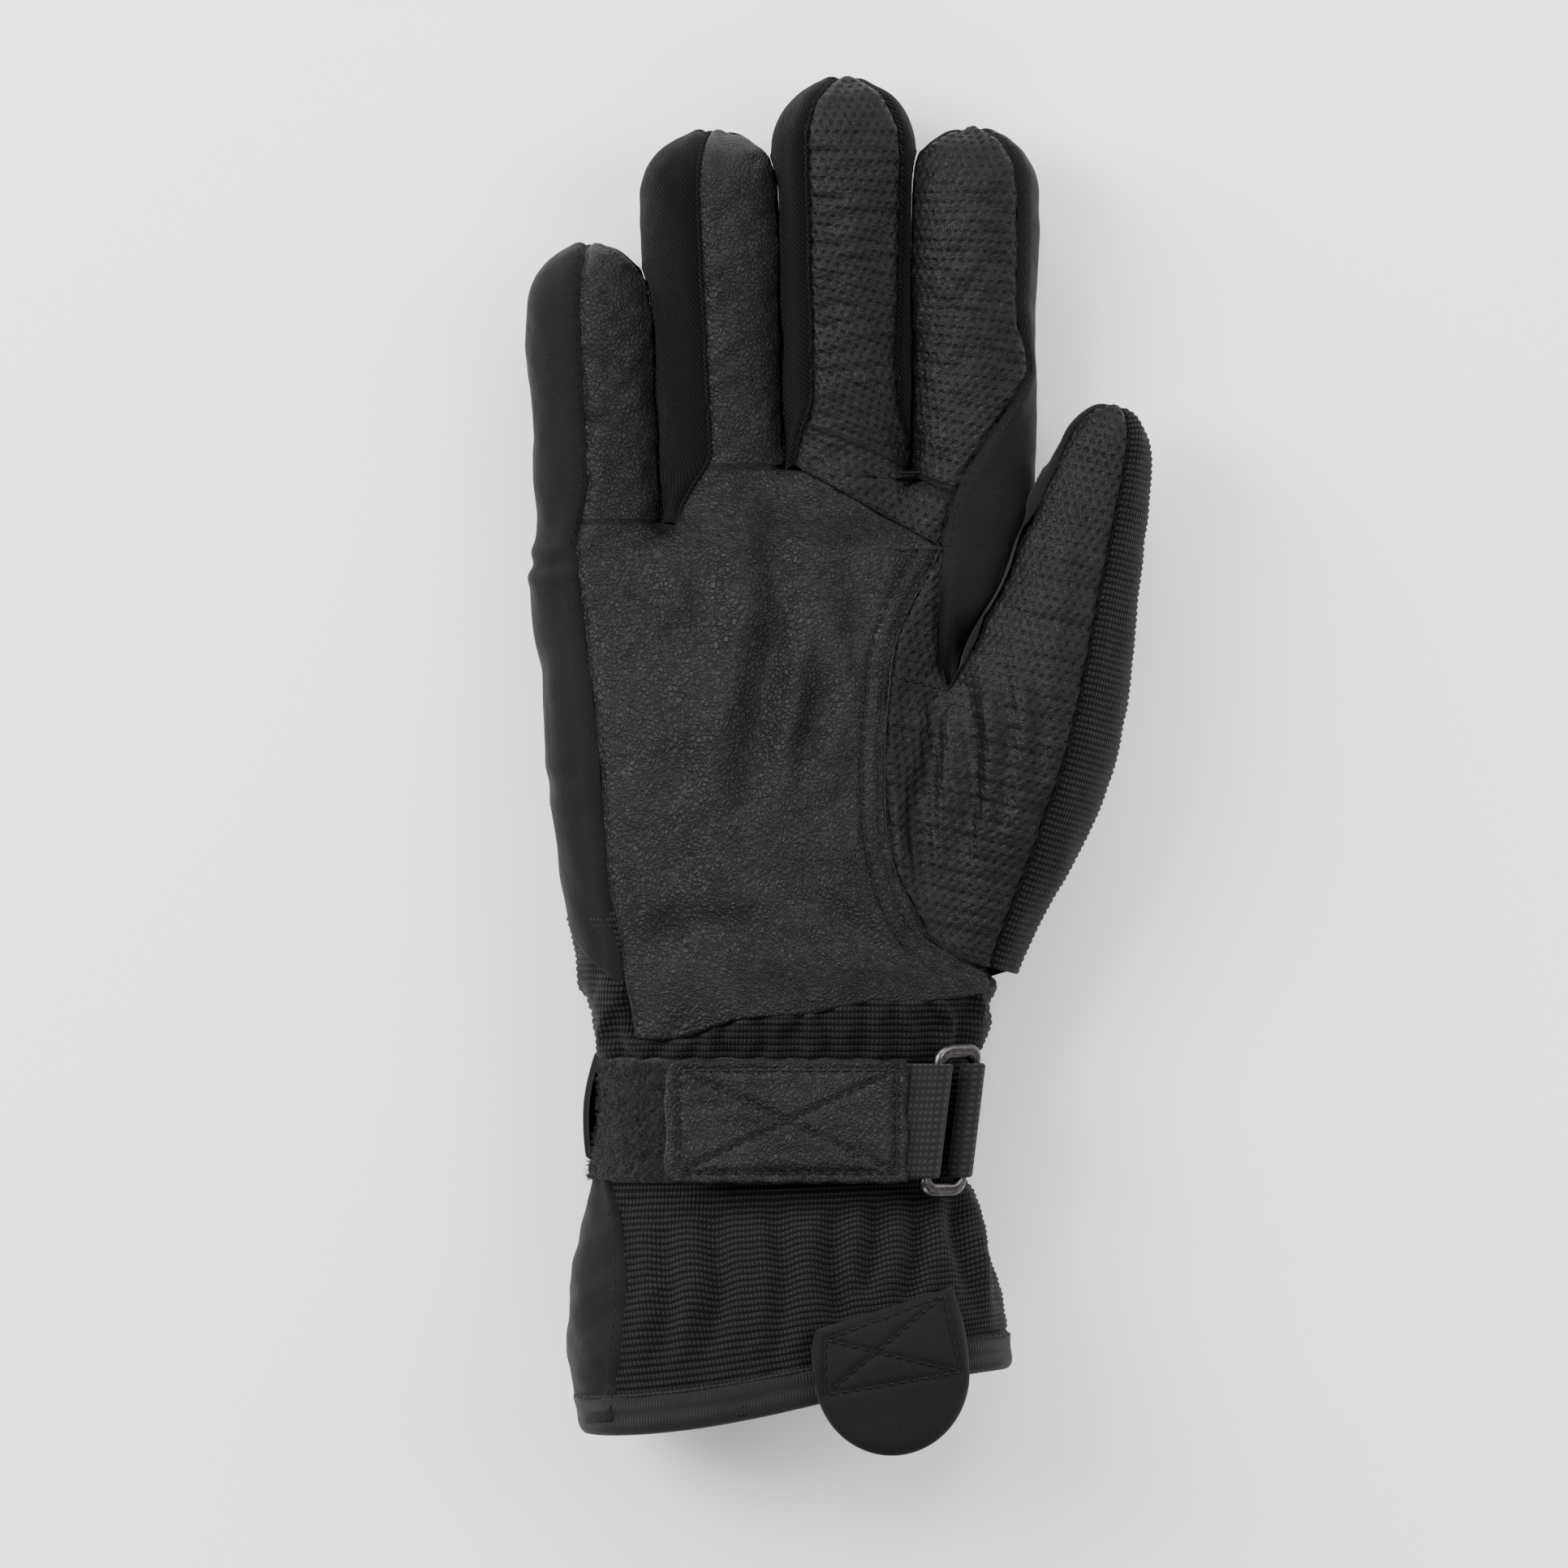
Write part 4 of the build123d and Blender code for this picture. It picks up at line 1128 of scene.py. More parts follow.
FINISHES = {
    "leather": leather_shader("black leather", dark=0.0022, light=0.0072, pebble=1.0, depth=0.2),
    "grip_leather": leather_shader("dimpled leather", dark=0.0009, light=0.0036, pebble=0.7, depth=0.08),
    "softshell": softshell_shader("softshell", dark=0.0028, light=0.0085, rough=0.82, sheen=0.08),
    "twill": twill_shader("twill"),
    "rib_knit": knit_shader("rib knit", dark=0.0006, light=0.0240, stitch=0.85, rough=0.7, sheen=0.04),
    "binding": webbing_shader("hem binding", dark=0.004, light=0.0125, across=0.7, along=3.2),
    "webbing": webbing_shader("elastic webbing", dark=0.0035, light=0.018, across=1.5, along=1.1),
    "hook_loop": fuzz_shader("loop pile", dark=0.0006, light=0.0105),
    "neoprene": softshell_shader("neoprene", dark=0.0035, light=0.0075, rough=0.75, sheen=0.05),
    "buckle_metal": metal_shader("black nickel"),
    "lining": fuzz_shader("fleece lining", dark=0.008, light=0.022, scale=0.9),
    "thread": knit_shader("thread", dark=0.003, light=0.016, stitch=0.5, rough=0.6, sheen=0.05),
}


# ---- Riding ----
def bend(piece, first, second, start, end):
    """Bakes the piece's transform into its mesh. The two bodies and the two places are not used."""
    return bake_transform(piece, first, second, start=tuple(np.array(start) * MM), end=tuple(np.array(end) * MM))



def at_wrist(piece):
    """Bakes the piece's transform, in place of a bend from the hand to the cuff."""
    return bend(piece, "hand", "cuff", WRIST + (0, 15, 0), WRIST - (0, 6, 0))


def at_swing(piece):
    """Bakes the piece's transform, in place of a bend from the hand to the thumb over the thumb's root."""
    start, end = (SWING + SWING_OUT * distance for distance in SWING_BAND)
    return bend(piece, "hand", "thumb_lower", start, end)


THUMB_TIP_REACH = 9.0  # length of thumb that bends, on each side of its hinge


def at_thumb_tip(piece):
    """Bakes the piece's transform, in place of a bend from the thumb's lower part to its tip."""
    place, reach = place_of("thumb_tip"), THUMB.forward * THUMB_TIP_REACH
    return bend(piece, "thumb_lower", "thumb_upper", place - reach, place + reach)


# ---- Relief that neighbouring panels share ----
def palm_folds(p):
    return creases(p, PALM_CREASES) + softness(p, 0.45, 21) + 0.25 * wobble(p * (1, 0.7, 1), 8, 23)


def back_folds(p):
    return softness(p, 0.3, 29)


def side_folds(p):
    return softness(p, 0.4, 25) + creases(p, SIDE_CREASES)


GRIP_CURVE = [(float(through(GRIP_SEAM, y)), float(y)) for y in np.linspace(-44.5, 46.9, 24)]
GRIP_EDGE = [(22.8, 46.9), (6.6, 55.8), (-8.0, 64.0)]
GRIP_ROWS = (1.3, 4.9)  # the two rows of stitches, as distances from the edge of the grip leather


def offset_route(route, distance):
    """A route in plan moved to its left side."""
    knots = np.array(route, float)
    run = np.gradient(knots, axis=0)
    run /= np.linalg.norm(run, axis=-1)[:, None]
    return knots + distance * np.stack((-run[:, 1], run[:, 0]), -1)


GRIP_ROUTES = (GRIP_CURVE, GRIP_EDGE)
STITCH_ROUTES = [offset_route(route, distance) for distance in GRIP_ROWS for route in GRIP_ROUTES]


def palm_relief(p):
    """Folds of the palm, and the grooves its stitches lie in."""
    return palm_folds(p) + route_relief(p, STITCH_ROUTES, 0.45, 0.75)


# ---- Fingers ----
KNUCKLE_BAND = ((-2, 10), (0, 11), (-2, 8), (-1, 10))  # where each finger's root bends, past its knuckle
MIDDLE_REACH = 8.0  # length of finger that bends, on each side of its middle hinge
FACE_FINISH = ("leather", "leather", "grip_leather", "grip_leather")
SIDE_FINISH = (("twill", "softshell"), ("twill", "twill"), ("twill", "twill"), ("softshell", "twill"))
SOCK_INSET = 3.4
SOCK_START, SOCK_SPLIT = -14.0, 11.0  # before the knuckle, and before the middle hinge
FINGER_BLEND = 14.0  # length over which the palm's folds give way to the finger's


def finger_relief(number, kind, grid):
    """Creases, seams and dimples of one panel of a finger."""
    p = grid.points
    past_palm = ease(FINGER_START, FINGER_START + FINGER_BLEND, p[..., 1])
    start = {"face": palm_folds, "back": back_folds}.get(kind, side_folds)(p)
    height = mix(start, softness(p, 0.3, 11 + number), past_palm)

    def past_crotch(crotch):
        return ease(crotch - 1, crotch + 2, p[..., 1])

    if kind in ("face", "back"):
        right = past_crotch(CROTCHES[number]) if number in (0, 2) else 1
        left = past_crotch(CROTCHES[number - 1]) if number in (1, 3) else 1
        if kind == "back":
            left, right = right, left
        height += pinch(grid.from_left) * left + pinch(grid.from_right) * right
    if kind == "face":
        height += creases(p, PALM_CREASES) * past_palm
        height += 0.28 * wobble(p * (1, 2.2, 1), 9, 31 + number) * past_palm
        if FACE_FINISH[number] == "grip_leather":
            height += dimples(grid)
    elif kind != "back":
        height += pinch(grid.from_left) + pinch(grid.from_right)
    return grid.raised(height)


def sock(digit, start, end):
    """The lining inside a length of a finger or thumb."""
    length = min(end, digit.tip_start) - start
    s = start + length * np.linspace(0, 1, 9)
    turn = np.linspace(2 * pi, 0, 25)
    radius = through(digit.radii, s) - SOCK_INSET
    rings = [digit.at(s[i], r * np.cos(turn), r * np.sin(turn) / digit.flat) for i, r in enumerate(radius)]
    if end >= digit.length:
        for tilt in np.linspace(0, POLE, 7)[1:]:
            r = radius[-1] * cos(tilt)
            reach = digit.tip_start + (digit.tip - SOCK_INSET) * sin(tilt)
            rings.append(digit.at(np.full_like(turn, reach), r * np.cos(turn), r * np.sin(turn) / digit.flat))
    points = np.stack(rings)
    return Grid(points, np.zeros_like(points))


def make_finger(number):
    """The panels, seams and lining of a finger, in a lower and an upper part."""
    own = FINGERS[number]
    name = own.name
    knuckle, middle = place_of(f"{name}_knuckle"), place_of(f"{name}_middle")
    raw = finger_panels(number)
    face_rows = raw["face"].points[..., 1]
    low, high = knuckle[1] + KNUCKLE_BAND[number][1], middle[1] - MIDDLE_REACH
    spread = np.stack((face_rows[:, 0], face_rows[:, -1], raw["back"].points[:, 0, 1]), -1)
    middle_of_row = (spread.min(-1) + spread.max(-1)) / 2
    split = int(np.argmax(middle_of_row > (low + high) / 2)) - len(face_rows)

    def lower(piece):
        start, end = (knuckle + (0, offset, 0) for offset in KNUCKLE_BAND[number])
        return bend(piece, "hand", f"{name}_lower", start, end)

    def upper(piece):
        start, end = middle - (0, MIDDLE_REACH, 0), middle + (0, MIDDLE_REACH, 0)
        return bend(piece, f"{name}_lower", f"{name}_upper", start, end)

    grids = {kind: finger_relief(number, kind, grid) for kind, grid in raw.items()}
    right_finish, left_finish = SIDE_FINISH[number]
    finishes = {"face": FACE_FINISH[number], "right": right_finish, "left": left_finish, "back": "softshell"}
    stands_for = {"face": "face", "right": "sides", "left": "sides", "back": "back"}
    sock_split = middle[1] - knuckle[1] - SOCK_SPLIT
    for length, ride, rows, ends in (
        ("lower", lower, slice(None, split + 1), (SOCK_START, sock_split)),
        ("upper", upper, slice(split, None), (sock_split, own.length)),
    ):
        part = f"{name}_{length}"
        for kind, grid in grids.items():
            lay(f"{part}_{kind}_panel", [grid.part(rows)], finishes[kind], ride, f"{part}_{stands_for[kind]}")
        make_finger_seams(number, grids, length, rows, ride)
        lay(f"{part}_sock", [sock(own, *ends)], "lining", ride, f"{part}_lining", flip=True)


def make_finger_seams(number, grids, length, rows, ride):
    """Overlocked edges beside the face, or stitches where the side is on show."""
    name = FINGERS[number].name
    face = grids["face"].part(rows)
    beads, threads = [], []
    for side in ("left", "right"):
        points, normals = edge_of(face, side)
        crotch = CROTCHES[number - 1] if side == "left" and number else CROTCHES[min(number, 2)]
        outer = (number == 0 and side == "left") or (number == 3 and side == "right")
        if outer:
            neighbour = grids["left" if side == "left" else "right"].part(rows)
            points, normals = edge_of(neighbour, "right" if side == "left" else "left", 1.4)
            keep = slice(0, len(points) - (6 if length == "upper" else 0))
            threads += stitches(points[keep], normals[keep], length=1.7, pitch=2.5, radius=0.17, lift=0.05)
        else:
            keep = points[:, 1] > crotch - 0.5
            if keep.sum() > 4:
                beads.append(overlock(points[keep], normals[keep]))
    if beads:
        lay(f"{name}_{length}_overlock", beads, "twill", ride)
    if threads:
        lay(f"{name}_{length}_stitching", threads, "thread", ride)


# ---- Thumb ----
THUMB_SPLIT = 62.5  # where the thumb's panels part into root and tip
THUMB_LEATHER_NODES = ("grip_patch", "thumb_lower_face")


def thumb_relief(kind, grid):
    """Creases, seams, dimples and ribs of one panel of the thumb."""
    p = grid.points
    s = THUMB.local(p)[0]
    height = softness(p, 0.3, 41)
    if kind in ("heel", "face"):
        height = height + creases(p, PALM_CREASES) + dimples(grid) + pinch(grid.from_right, 0.7)
        height += 0.4 * wobble(p * (1, 1.8, 1), 10, 43) * ease(105, 60, s)
        if kind == "face":
            height += pinch(grid.from_left, 0.7) * ease(THUMB_CROTCH, THUMB_CROTCH + 4, s)
        else:
            height += pinch(grid.from_left, 0.5, 0.7)
    elif "strip" in kind:
        height += ribs(grid) + pinch(grid.from_left, 0.8)
    else:
        own = ease(THUMB_CROTCH + 1, THUMB_CROTCH + 13, s)
        height = mix(back_folds(p), height + pinch(grid.from_left) + pinch(grid.from_right), own)
    return grid.raised(height)


def make_thumb(raw):
    """The panels, seams and lining of the thumb."""
    kinds = ("heel", "heel_strip", "face", "strip", "gusset", "back")
    grids = {kind: thumb_relief(kind, raw[kind]) for kind in kinds}
    along = THUMB.local(raw["face"].points[:, 0])[0]
    split = int(np.argmax(along > THUMB_SPLIT))
    root, tip = slice(None, split + 1), slice(split, None)
    back_thumb = raw["back_thumb"].raised(back_folds(raw["back_thumb"].points))
    for name, parts, slot_name, nodes in (
        ("leather", (grids["heel"], grids["face"].part(root)), "grip_leather", THUMB_LEATHER_NODES),
        ("strip", (grids["heel_strip"], grids["strip"].part(root)), "rib_knit", ("thumb_lower_back",)),
        ("gusset", (grids["gusset"].part(root),), "softshell", ("thumb_lower_gusset",)),
        ("back", (grids["back"].part(root), back_thumb), "softshell", ("thumb_lower_back",)),
    ):
        lay(f"thumb_root_{name}", parts, slot_name, at_swing, *nodes)
    for name, kind, slot_name, node in (
        ("leather", "face", "grip_leather", "thumb_upper_face"),
        ("strip", "strip", "rib_knit", "thumb_upper_back"),
        ("gusset", "gusset", "softshell", "thumb_upper_back"),
        ("back", "back", "softshell", "thumb_upper_back"),
    ):
        lay(f"thumb_tip_{name}", [grids[kind].part(tip)], slot_name, at_thumb_tip, node)
    for name, more, rows, ride in (("root", [grids["heel"]], root, at_swing), ("tip", [], tip, at_thumb_tip)):
        face = grids["face"].part(rows)
        beads = [overlock(*edge_of(grid, "right"), radius=0.42, pitch=1.1) for grid in (*more, face)]
        beads.append(overlock(*edge_of(face, "left"), radius=0.45))
        lay(f"thumb_{name}_overlock", beads, "twill", ride)
    for name, ends, ride in (("lower", (4, 64), at_swing), ("upper", (63, THUMB.length), at_thumb_tip)):
        lay(f"thumb_{name}_sock", [sock(THUMB, *ends)], "lining", ride, f"thumb_{name}_lining", flip=True)


# ---- Hand ----
EDGE = 0.9  # width of the rounded edge of a fabric layer


def layer_height(distance, thick, under=0.5):
    """Height of a layer over what it lies on, with a rounded edge that tucks in at its border."""
    q = 1 - np.clip(distance / EDGE, 0, 1)
    return -under + (thick + under) * np.sqrt(np.maximum(0, 1 - q * q))


def make_hand(raw):
    """The palm, side, gusset and back panels of the hand, with their stitches."""
    leather, side, flap, gusset, back = (raw[k] for k in ("leather", "side", "flap", "gusset", "back"))
    p = leather.points
    heel_side = ease(-43, -47, p[..., 1])  # below the seams, the leather lies on the knit and shows its edge
    height = palm_relief(p) + layer_height(leather.v, 0.85) * ease(-38, -48, p[..., 1])
    for distance, seam in (
        (leather.from_left, pinch(leather.from_left, 0.8)),
        (leather.from_right, pinch(leather.from_right, 0.5, 0.7)),
    ):
        height += mix(seam, layer_height(distance, 0.5) - 0.5, heel_side)
    leather = leather.raised(height)
    lay("palm_panel", [leather], "leather", at_wrist, "palm_leather")

    height = side_folds(side.points)
    height += pinch(side.from_right, 0.8) + pinch(side.from_left, 0.6)
    height += (layer_height(side.v, 0.5) - 0.5) + 0.5 * ease(-30, -44, side.points[..., 1])
    side = side.raised(height)
    lay("side_softshell", [side], "softshell", at_wrist, "side_panel")

    height = softness(flap.points, 0.3, 41) + creases(flap.points, PALM_CREASES) + dimples(flap)
    height += pinch(flap.from_left, 0.5, 0.7) + pinch(flap.from_right, 0.8)
    flap = flap.raised(height)
    lay("grip_flap", [flap], "grip_leather", "hand", "grip_patch")

    height = softness(gusset.points, 0.5, 27) + pinch(gusset.from_left, 0.7) + pinch(gusset.from_right, 0.7)
    lay("thumb_gusset_panel", [gusset.raised(height)], "softshell", "hand", "grip_patch")

    height = back_folds(back.points) + pinch(back.from_right, 0.6) + 0.3 * ease(-40, -48, back.points[..., 1])
    lay("back_softshell", [back.raised(height)], "softshell", at_wrist, "back_shell")

    threads = stitches(*edge_of(leather, "left", 1.3), length=1.8, pitch=2.6, radius=0.16, lift=0.02)
    lay("side_seam_stitching", threads, "thread", at_wrist)
    make_grip_stitching()
    make_web()


WEB_X, WEB_Y = (17, 34), (6, 27)


def make_web():
    """The inside of the crotch of the thumb, closed between the hand and the thumb."""
    x, y = np.meshgrid(np.linspace(*WEB_X, 24), np.linspace(*WEB_Y, 28))
    points = above(x, y, joined, -1)
    inside = joined(np.stack((x, y, np.full_like(x, CORE_Z)), -1)) < 0
    points[..., 2] = np.where(inside, np.clip(points[..., 2], 0, CORE_Z) + 0.7, CORE_Z)
    grid = Grid(points[::-1], np.zeros_like(points))
    lay("thumb_web", [grid], "softshell", at_swing)


def make_grip_stitching():
    """Two rows of stitches and a raw edge along the seam of the grip leather."""
    threads = []
    for route in STITCH_ROUTES:
        points, normals = in_plan(route, joined)
        points = points + normals * palm_folds(points)[:, None]
        threads += stitches(points, normals, length=2.0, lift=-0.1)
    lay("grip_seam_stitching", threads, "thread", "hand", "grip_stitching")
    edges = [overlock(*in_plan(route, joined), radius=0.34, pitch=3.1, lift=-0.05) for route in GRIP_ROUTES]
    lay("grip_leather_edge", edges, "grip_leather", "hand")


# ---- Cuff ----
CUFF_SIDE_THICK = 0.9
LINING_INSET = 3.6
LINING_TOP, LINING_CORE = 36, (-10.0, 0.0, 16.0)  # where the lining closes, and the line it closes on


def make_cuff():
    """The knit, side panel and back of the cuff, with its binding and lining."""
    raw = cuff_panels()
    knit, side, back = raw["knit"], raw["side"], raw["back"]
    p = knit.points
    # covered: under the palm leather. gather: drawn up by the elastic, between the leather and the strap.
    covered = ease(-1.0, 2.5, p[..., 1] - leather_end(p[..., 0])) * ease(-46, -42, p[..., 0])
    covered = np.maximum(covered, ease(-34, -28, p[..., 1]))
    gather = (1 - covered) * ease(-42, -50, p[..., 1]) * ease(-69, -62, p[..., 1])
    under_strap = ease(-62, -66, p[..., 1]) * ease(-93, -88, p[..., 1])
    height = ribs(knit) + creases(p, CUFF_CREASES) * ease(-86, -92, p[..., 1])
    height += 0.9 * gather * (1 + np.sin(p[..., 0] / 1.15 + 1.5 * wobble(p, 9, 51)))
    height += softness(p, 0.55, 53) * (1 - under_strap) - 0.5 * under_strap - 2.6 * covered
    lay("cuff_rib_knit", [knit.raised(height)], "rib_knit", at_wrist, "cuff_knit", "wrist_elastic")

    height = layer_height(side.from_right, CUFF_SIDE_THICK) + softness(side.points, 0.5, 55)
    height += 0.35 * np.exp(-(((side.from_right - 1.4) / 0.8) ** 2))
    height -= 0.6 * (1 - layer_height(side.v[-1:] - side.v, 1.0, 0.0))
    side = side.raised(height)
    lay("cuff_side_softshell", [side], "softshell", "cuff", "cuff_side_panel")
    threads = stitches(*edge_of(side, "right", 2.3), length=1.7, pitch=2.4, radius=0.16, lift=0.06)
    lay("cuff_side_stitching", threads, "thread", "cuff")

    height = softness(back.points, 0.3, 57) - 0.4 * ease(-54, -46, back.points[..., 1])
    lay("cuff_back_softshell", [back.raised(height)], "softshell", at_wrist, "cuff_back")
    make_binding()
    make_lining()


# The binding's section: heights above the hem and distances out from the cuff, from its outer top edge.
BINDING_PROFILE = (
    (7.3, -0.5), (7.1, 0.6), (6.5, 1.0), (4.0, 0.85), (1.4, 1.0), (0.2, 0.8), (-0.7, 0.1),
    (-1.1, -1.2), (-0.7, -2.6), (0.2, -3.4), (1.4, -3.8), (7.0, -3.9),
)


BINDING_TOP = 7  # mm above the hem, where its top edge and the threads along it are


def hem_rings(rises):
    """Both halves of the cuff's outline at heights above the hem."""
    rows = slanted(HEM_Y + rises)
    left, right = cuff_edges(rows)
    palm = panel(hand_field, left, right, rows[2], 150, 0.5, 0.5, hem_wave)
    back = panel(hand_field, right, left, rows[2], 90, 0.5, 0.5, hem_wave)
    return palm, back


def make_binding():
    """The hem's binding, rolled over the edge, with threads along its top."""
    top = BINDING_TOP + 1
    rises = np.linspace(0, top, top + 1)
    profile, _ = even(np.array([(a, b, 0) for a, b in BINDING_PROFILE], float), 0.45)
    grids, beads = [], []
    for half in hem_rings(rises):
        rows = []
        for rise, offset, _ in profile:
            at = np.clip(rise, 0, top)
            low = min(int(at), top - 1)
            base = mix(half.points[low], half.points[low + 1], at - low)
            normal = mix(half.normals[low], half.normals[low + 1], at - low)
            ruck = 0.22 * wobble(base, 7, 61)[:, None]
            rows.append(base + normal * (offset + ruck) + np.array((0, 1.0, 0)) * min(rise, 0))
        points = np.stack(rows[::-1])
        grids.append(Grid(points, np.zeros_like(points)))
        path, normal = half.points[BINDING_TOP], half.normals[BINDING_TOP]
        beads.append(overlock(path + normal * 0.5, normal, radius=0.45, pitch=1.0))
    lay("hem_binding_roll", grids, "binding", "cuff", "hem_binding")
    lay("hem_overlock", beads, "thread", "cuff")


def make_lining():
    """The fleece inside the cuff and the hand."""
    rows = slanted(by_rows(HEM_Y + 4, LINING_TOP, 3))
    left, right = cuff_edges(rows)
    grids = []
    for first, second, width in ((left, right, 150), (right, left, 90)):
        grid = panel(hand_field, first, second, rows[2], width, 2.2)
        grid = grid.raised(-LINING_INSET + 0.3 * wobble(grid.points, 8, 63))
        closing = ease(20, LINING_TOP, grid.points[..., 1])[..., None]
        target = grid.points * (0, 1, 0) + LINING_CORE
        grid.points = mix(grid.points, target, 0.98 * closing)
        grids.append(grid)
    lay("fleece_lining", grids, "lining", at_wrist, "cuff_lining", "hand_lining", flip=True)


# ---- Wrist strap ----
STRAP_Y = sum(corner[1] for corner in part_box("strap_webbing")) / 2 / MM
STRAP_WIDTH = 25.0
CAST_LINE_INSET = 14.0  # from the wrist's edge to the line that the strap's rays start from


def strap_rows(width, step):
    y = by_rows(STRAP_Y - width / 2, STRAP_Y + width / 2, step)
    return y, np.zeros_like(y), np.tile(ACROSS, (len(y), 1))


def border_distance(grid):
    """Distance from each point to the nearest edge of its grid."""
    top = grid.v[-1:] - grid.v
    return np.minimum(np.minimum(grid.from_left, grid.from_right), np.minimum(grid.v, top))


def fibres(grid, count, length, radius, lean, seed):
    """Short curled fibres that stand on a grid."""
    draw = np.random.default_rng(seed)
    rows, columns = grid.u.shape
    pick = draw.integers(0, rows * columns, count)
    root = grid.points.reshape(-1, 3)[pick] + draw.normal(0, 0.25, (count, 3))
    up = grid.normals.reshape(-1, 3)[pick]
    side = draw.normal(size=(count, 3))
    side = np.cross(up, side)
    side /= np.linalg.norm(side, axis=-1)[:, None]
    out = []
    for t, rise, slide in ((0, -0.15, 0), (0.5, 0.62, 0.3), (1, 0.72, 0.95)):
        place = root + up * length * rise + side * length * slide * lean
        wide = np.cross(up, side) * radius * (1.2 - t)
        out.append(np.stack((place - wide, place + wide), 1))
    points = np.stack(out, 1).reshape(-1, 3)
    base = np.arange(count)[:, None] * 6
    quads = np.concatenate([base + np.array(q) for q in ((0, 1, 3, 2), (2, 3, 5, 4))])
    return points, quads


def make_loop_panel():
    """The panel of loop pile under the tab, with loose fibres on it."""
    rows = strap_rows(STRAP_WIDTH + 2, 0.5)
    left = cuff_seam("left", 172, rows, hand_field, CAST_LINE_INSET)
    right_x = box_mm("loop_panel")[1][0]
    right = cuff_plan_seam(lambda y: np.full_like(y, right_x), rows, hand_field)
    grid = panel(hand_field, left, right, rows[2], 70, 0.5)
    pile = 0.22 * rng.normal(size=grid.u.shape) + 0.25 * wobble(grid.points, 3, 71)
    grid = grid.raised(layer_height(border_distance(grid), 1.7) + pile)
    lay("loop_pile_panel", [grid], "hook_loop", "cuff", "loop_panel")
    points, quads = fibres(grid, count=5200, length=1.0, radius=0.07, lean=1.0, seed=73)
    fuzz = mesh_from("loop_pile_fibres", points, quads, points[:, :2], "hook_loop")
    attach(fuzz, "cuff")


def make_strap_back():
    """The strap's plain part round the back of the wrist. It stands off at the little finger's side."""
    rows = strap_rows(STRAP_WIDTH, 0.9)
    left = cuff_seam("left", 170, rows, hand_field, CAST_LINE_INSET)
    right = cuff_seam("right", -14, rows, hand_field, CAST_LINE_INSET)
    grid = panel(hand_field, right, left, rows[2], 130, 1.0)
    bow = np.sin(pi * grid.v / grid.v.max())
    stand_off = ease(26, 6, grid.from_right) * (2.6 + 1.0 * bow)
    height = layer_height(np.minimum(grid.v, grid.v.max() - grid.v), 1.4) + stand_off * np.sqrt(bow + 0.02)
    height = height - 1.3 * ease(1.5, 0, grid.from_right)
    grid = grid.raised(height)
    grid.points = grid.points + ease(34, 8, grid.from_right)[..., None] * (0, 2.8, 0)
    lay("strap_back_band", [grid], "softshell", "cuff", "strap_back")


def band(path, width, thick, step=0.6):
    """A flat strap with round edges along a path of (x, z) points, over the middle of the wrist strap."""
    route = even(np.array([(x, 0, z) for x, z in path], float), step)[0]
    along = cross_frames(route)
    normal = np.cross(along, (0.0, 1.0, 0.0))
    half, bead = width / 2 - thick / 2, thick / 2
    flat = np.linspace(-half, half, max(3, round(width / step)))
    turn = np.linspace(-pi / 2, pi / 2, 6)[1:-1]
    section = (
        [(y, bead) for y in flat]
        + [(half + bead * cos(a), -bead * sin(a)) for a in turn]
        + [(y, -bead) for y in flat[::-1]]
        + [(-half - bead * cos(a), bead * sin(a)) for a in turn]
        + [(-half, bead)]
    )
    section = np.array(section)
    y = np.array((0, 1.0, 0))
    points = route[:, None] + normal[:, None] * section[None, :, 1:2] + y * section[None, :, 0:1]
    points = points + y * STRAP_Y
    return Grid(points, np.broadcast_to(normal[:, None], points.shape).copy())


def arc(centre, radius, start, end, count=10):
    """Points of an arc in a plane, by angles in degrees."""
    turn = np.radians(np.linspace(start, end, count))
    return [(centre[0] + radius * np.cos(a), centre[1] + radius * np.sin(a)) for a in turn]


TAPE_WIDTH, WRAP = 24.6, 2.15  # both webbings' width, and the radius of their turns round the ring
RING_LEAN = 0.12
RING_WIRE, RING_CORNER = 1.0, 2.6


def leaning(points):
    """The ring and the webbing at it lean a little, as the wrist narrows toward the cuff."""
    low, high = place_of("strap_peel")[0] - 12, place_of("strap_peel")[0] - 3
    share = ease(low, high, points[..., 0:1])
    return points + share * RING_LEAN * (points[..., 1:2] - STRAP_Y - 5) * (1.0, 0, 0)


def make_webbing():
    """The elastic webbing wrapped round the ring's bar, and the tape that anchors the ring."""
    bar, anchor = place_of("strap_peel")[[0, 2]], place_of("buckle_swing")[[0, 2]]
    low, high = box_mm("strap_webbing")
    path = [(low[0], high[2] - 0.65), (bar[0] - 12, high[2] - 0.6)]
    path += arc(bar, WRAP, 90, -100) + [(bar[0] - 5, bar[1] - 2.5), (bar[0] - 11, bar[1] - 1.6)]
    grid = band(path, TAPE_WIDTH, 1.35)
    grid.points = leaning(grid.points)
    lay("elastic_webbing", [grid], "webbing", "strap_flap", "strap_webbing")
    foot = box_mm("anchor_webbing")[0][2]
    right = through(HAND_RIGHT, STRAP_Y)
    path = arc(anchor, WRAP, 215, 20) + [(right + 2.2, anchor[1] - 6), (right + 1.6, 22), (right + 1.0, foot)]
    grid = band(path, TAPE_WIDTH, 1.4)
    grid.points = leaning(grid.points)
    lay("anchor_tape", [grid], "webbing", "cuff", "anchor_webbing")


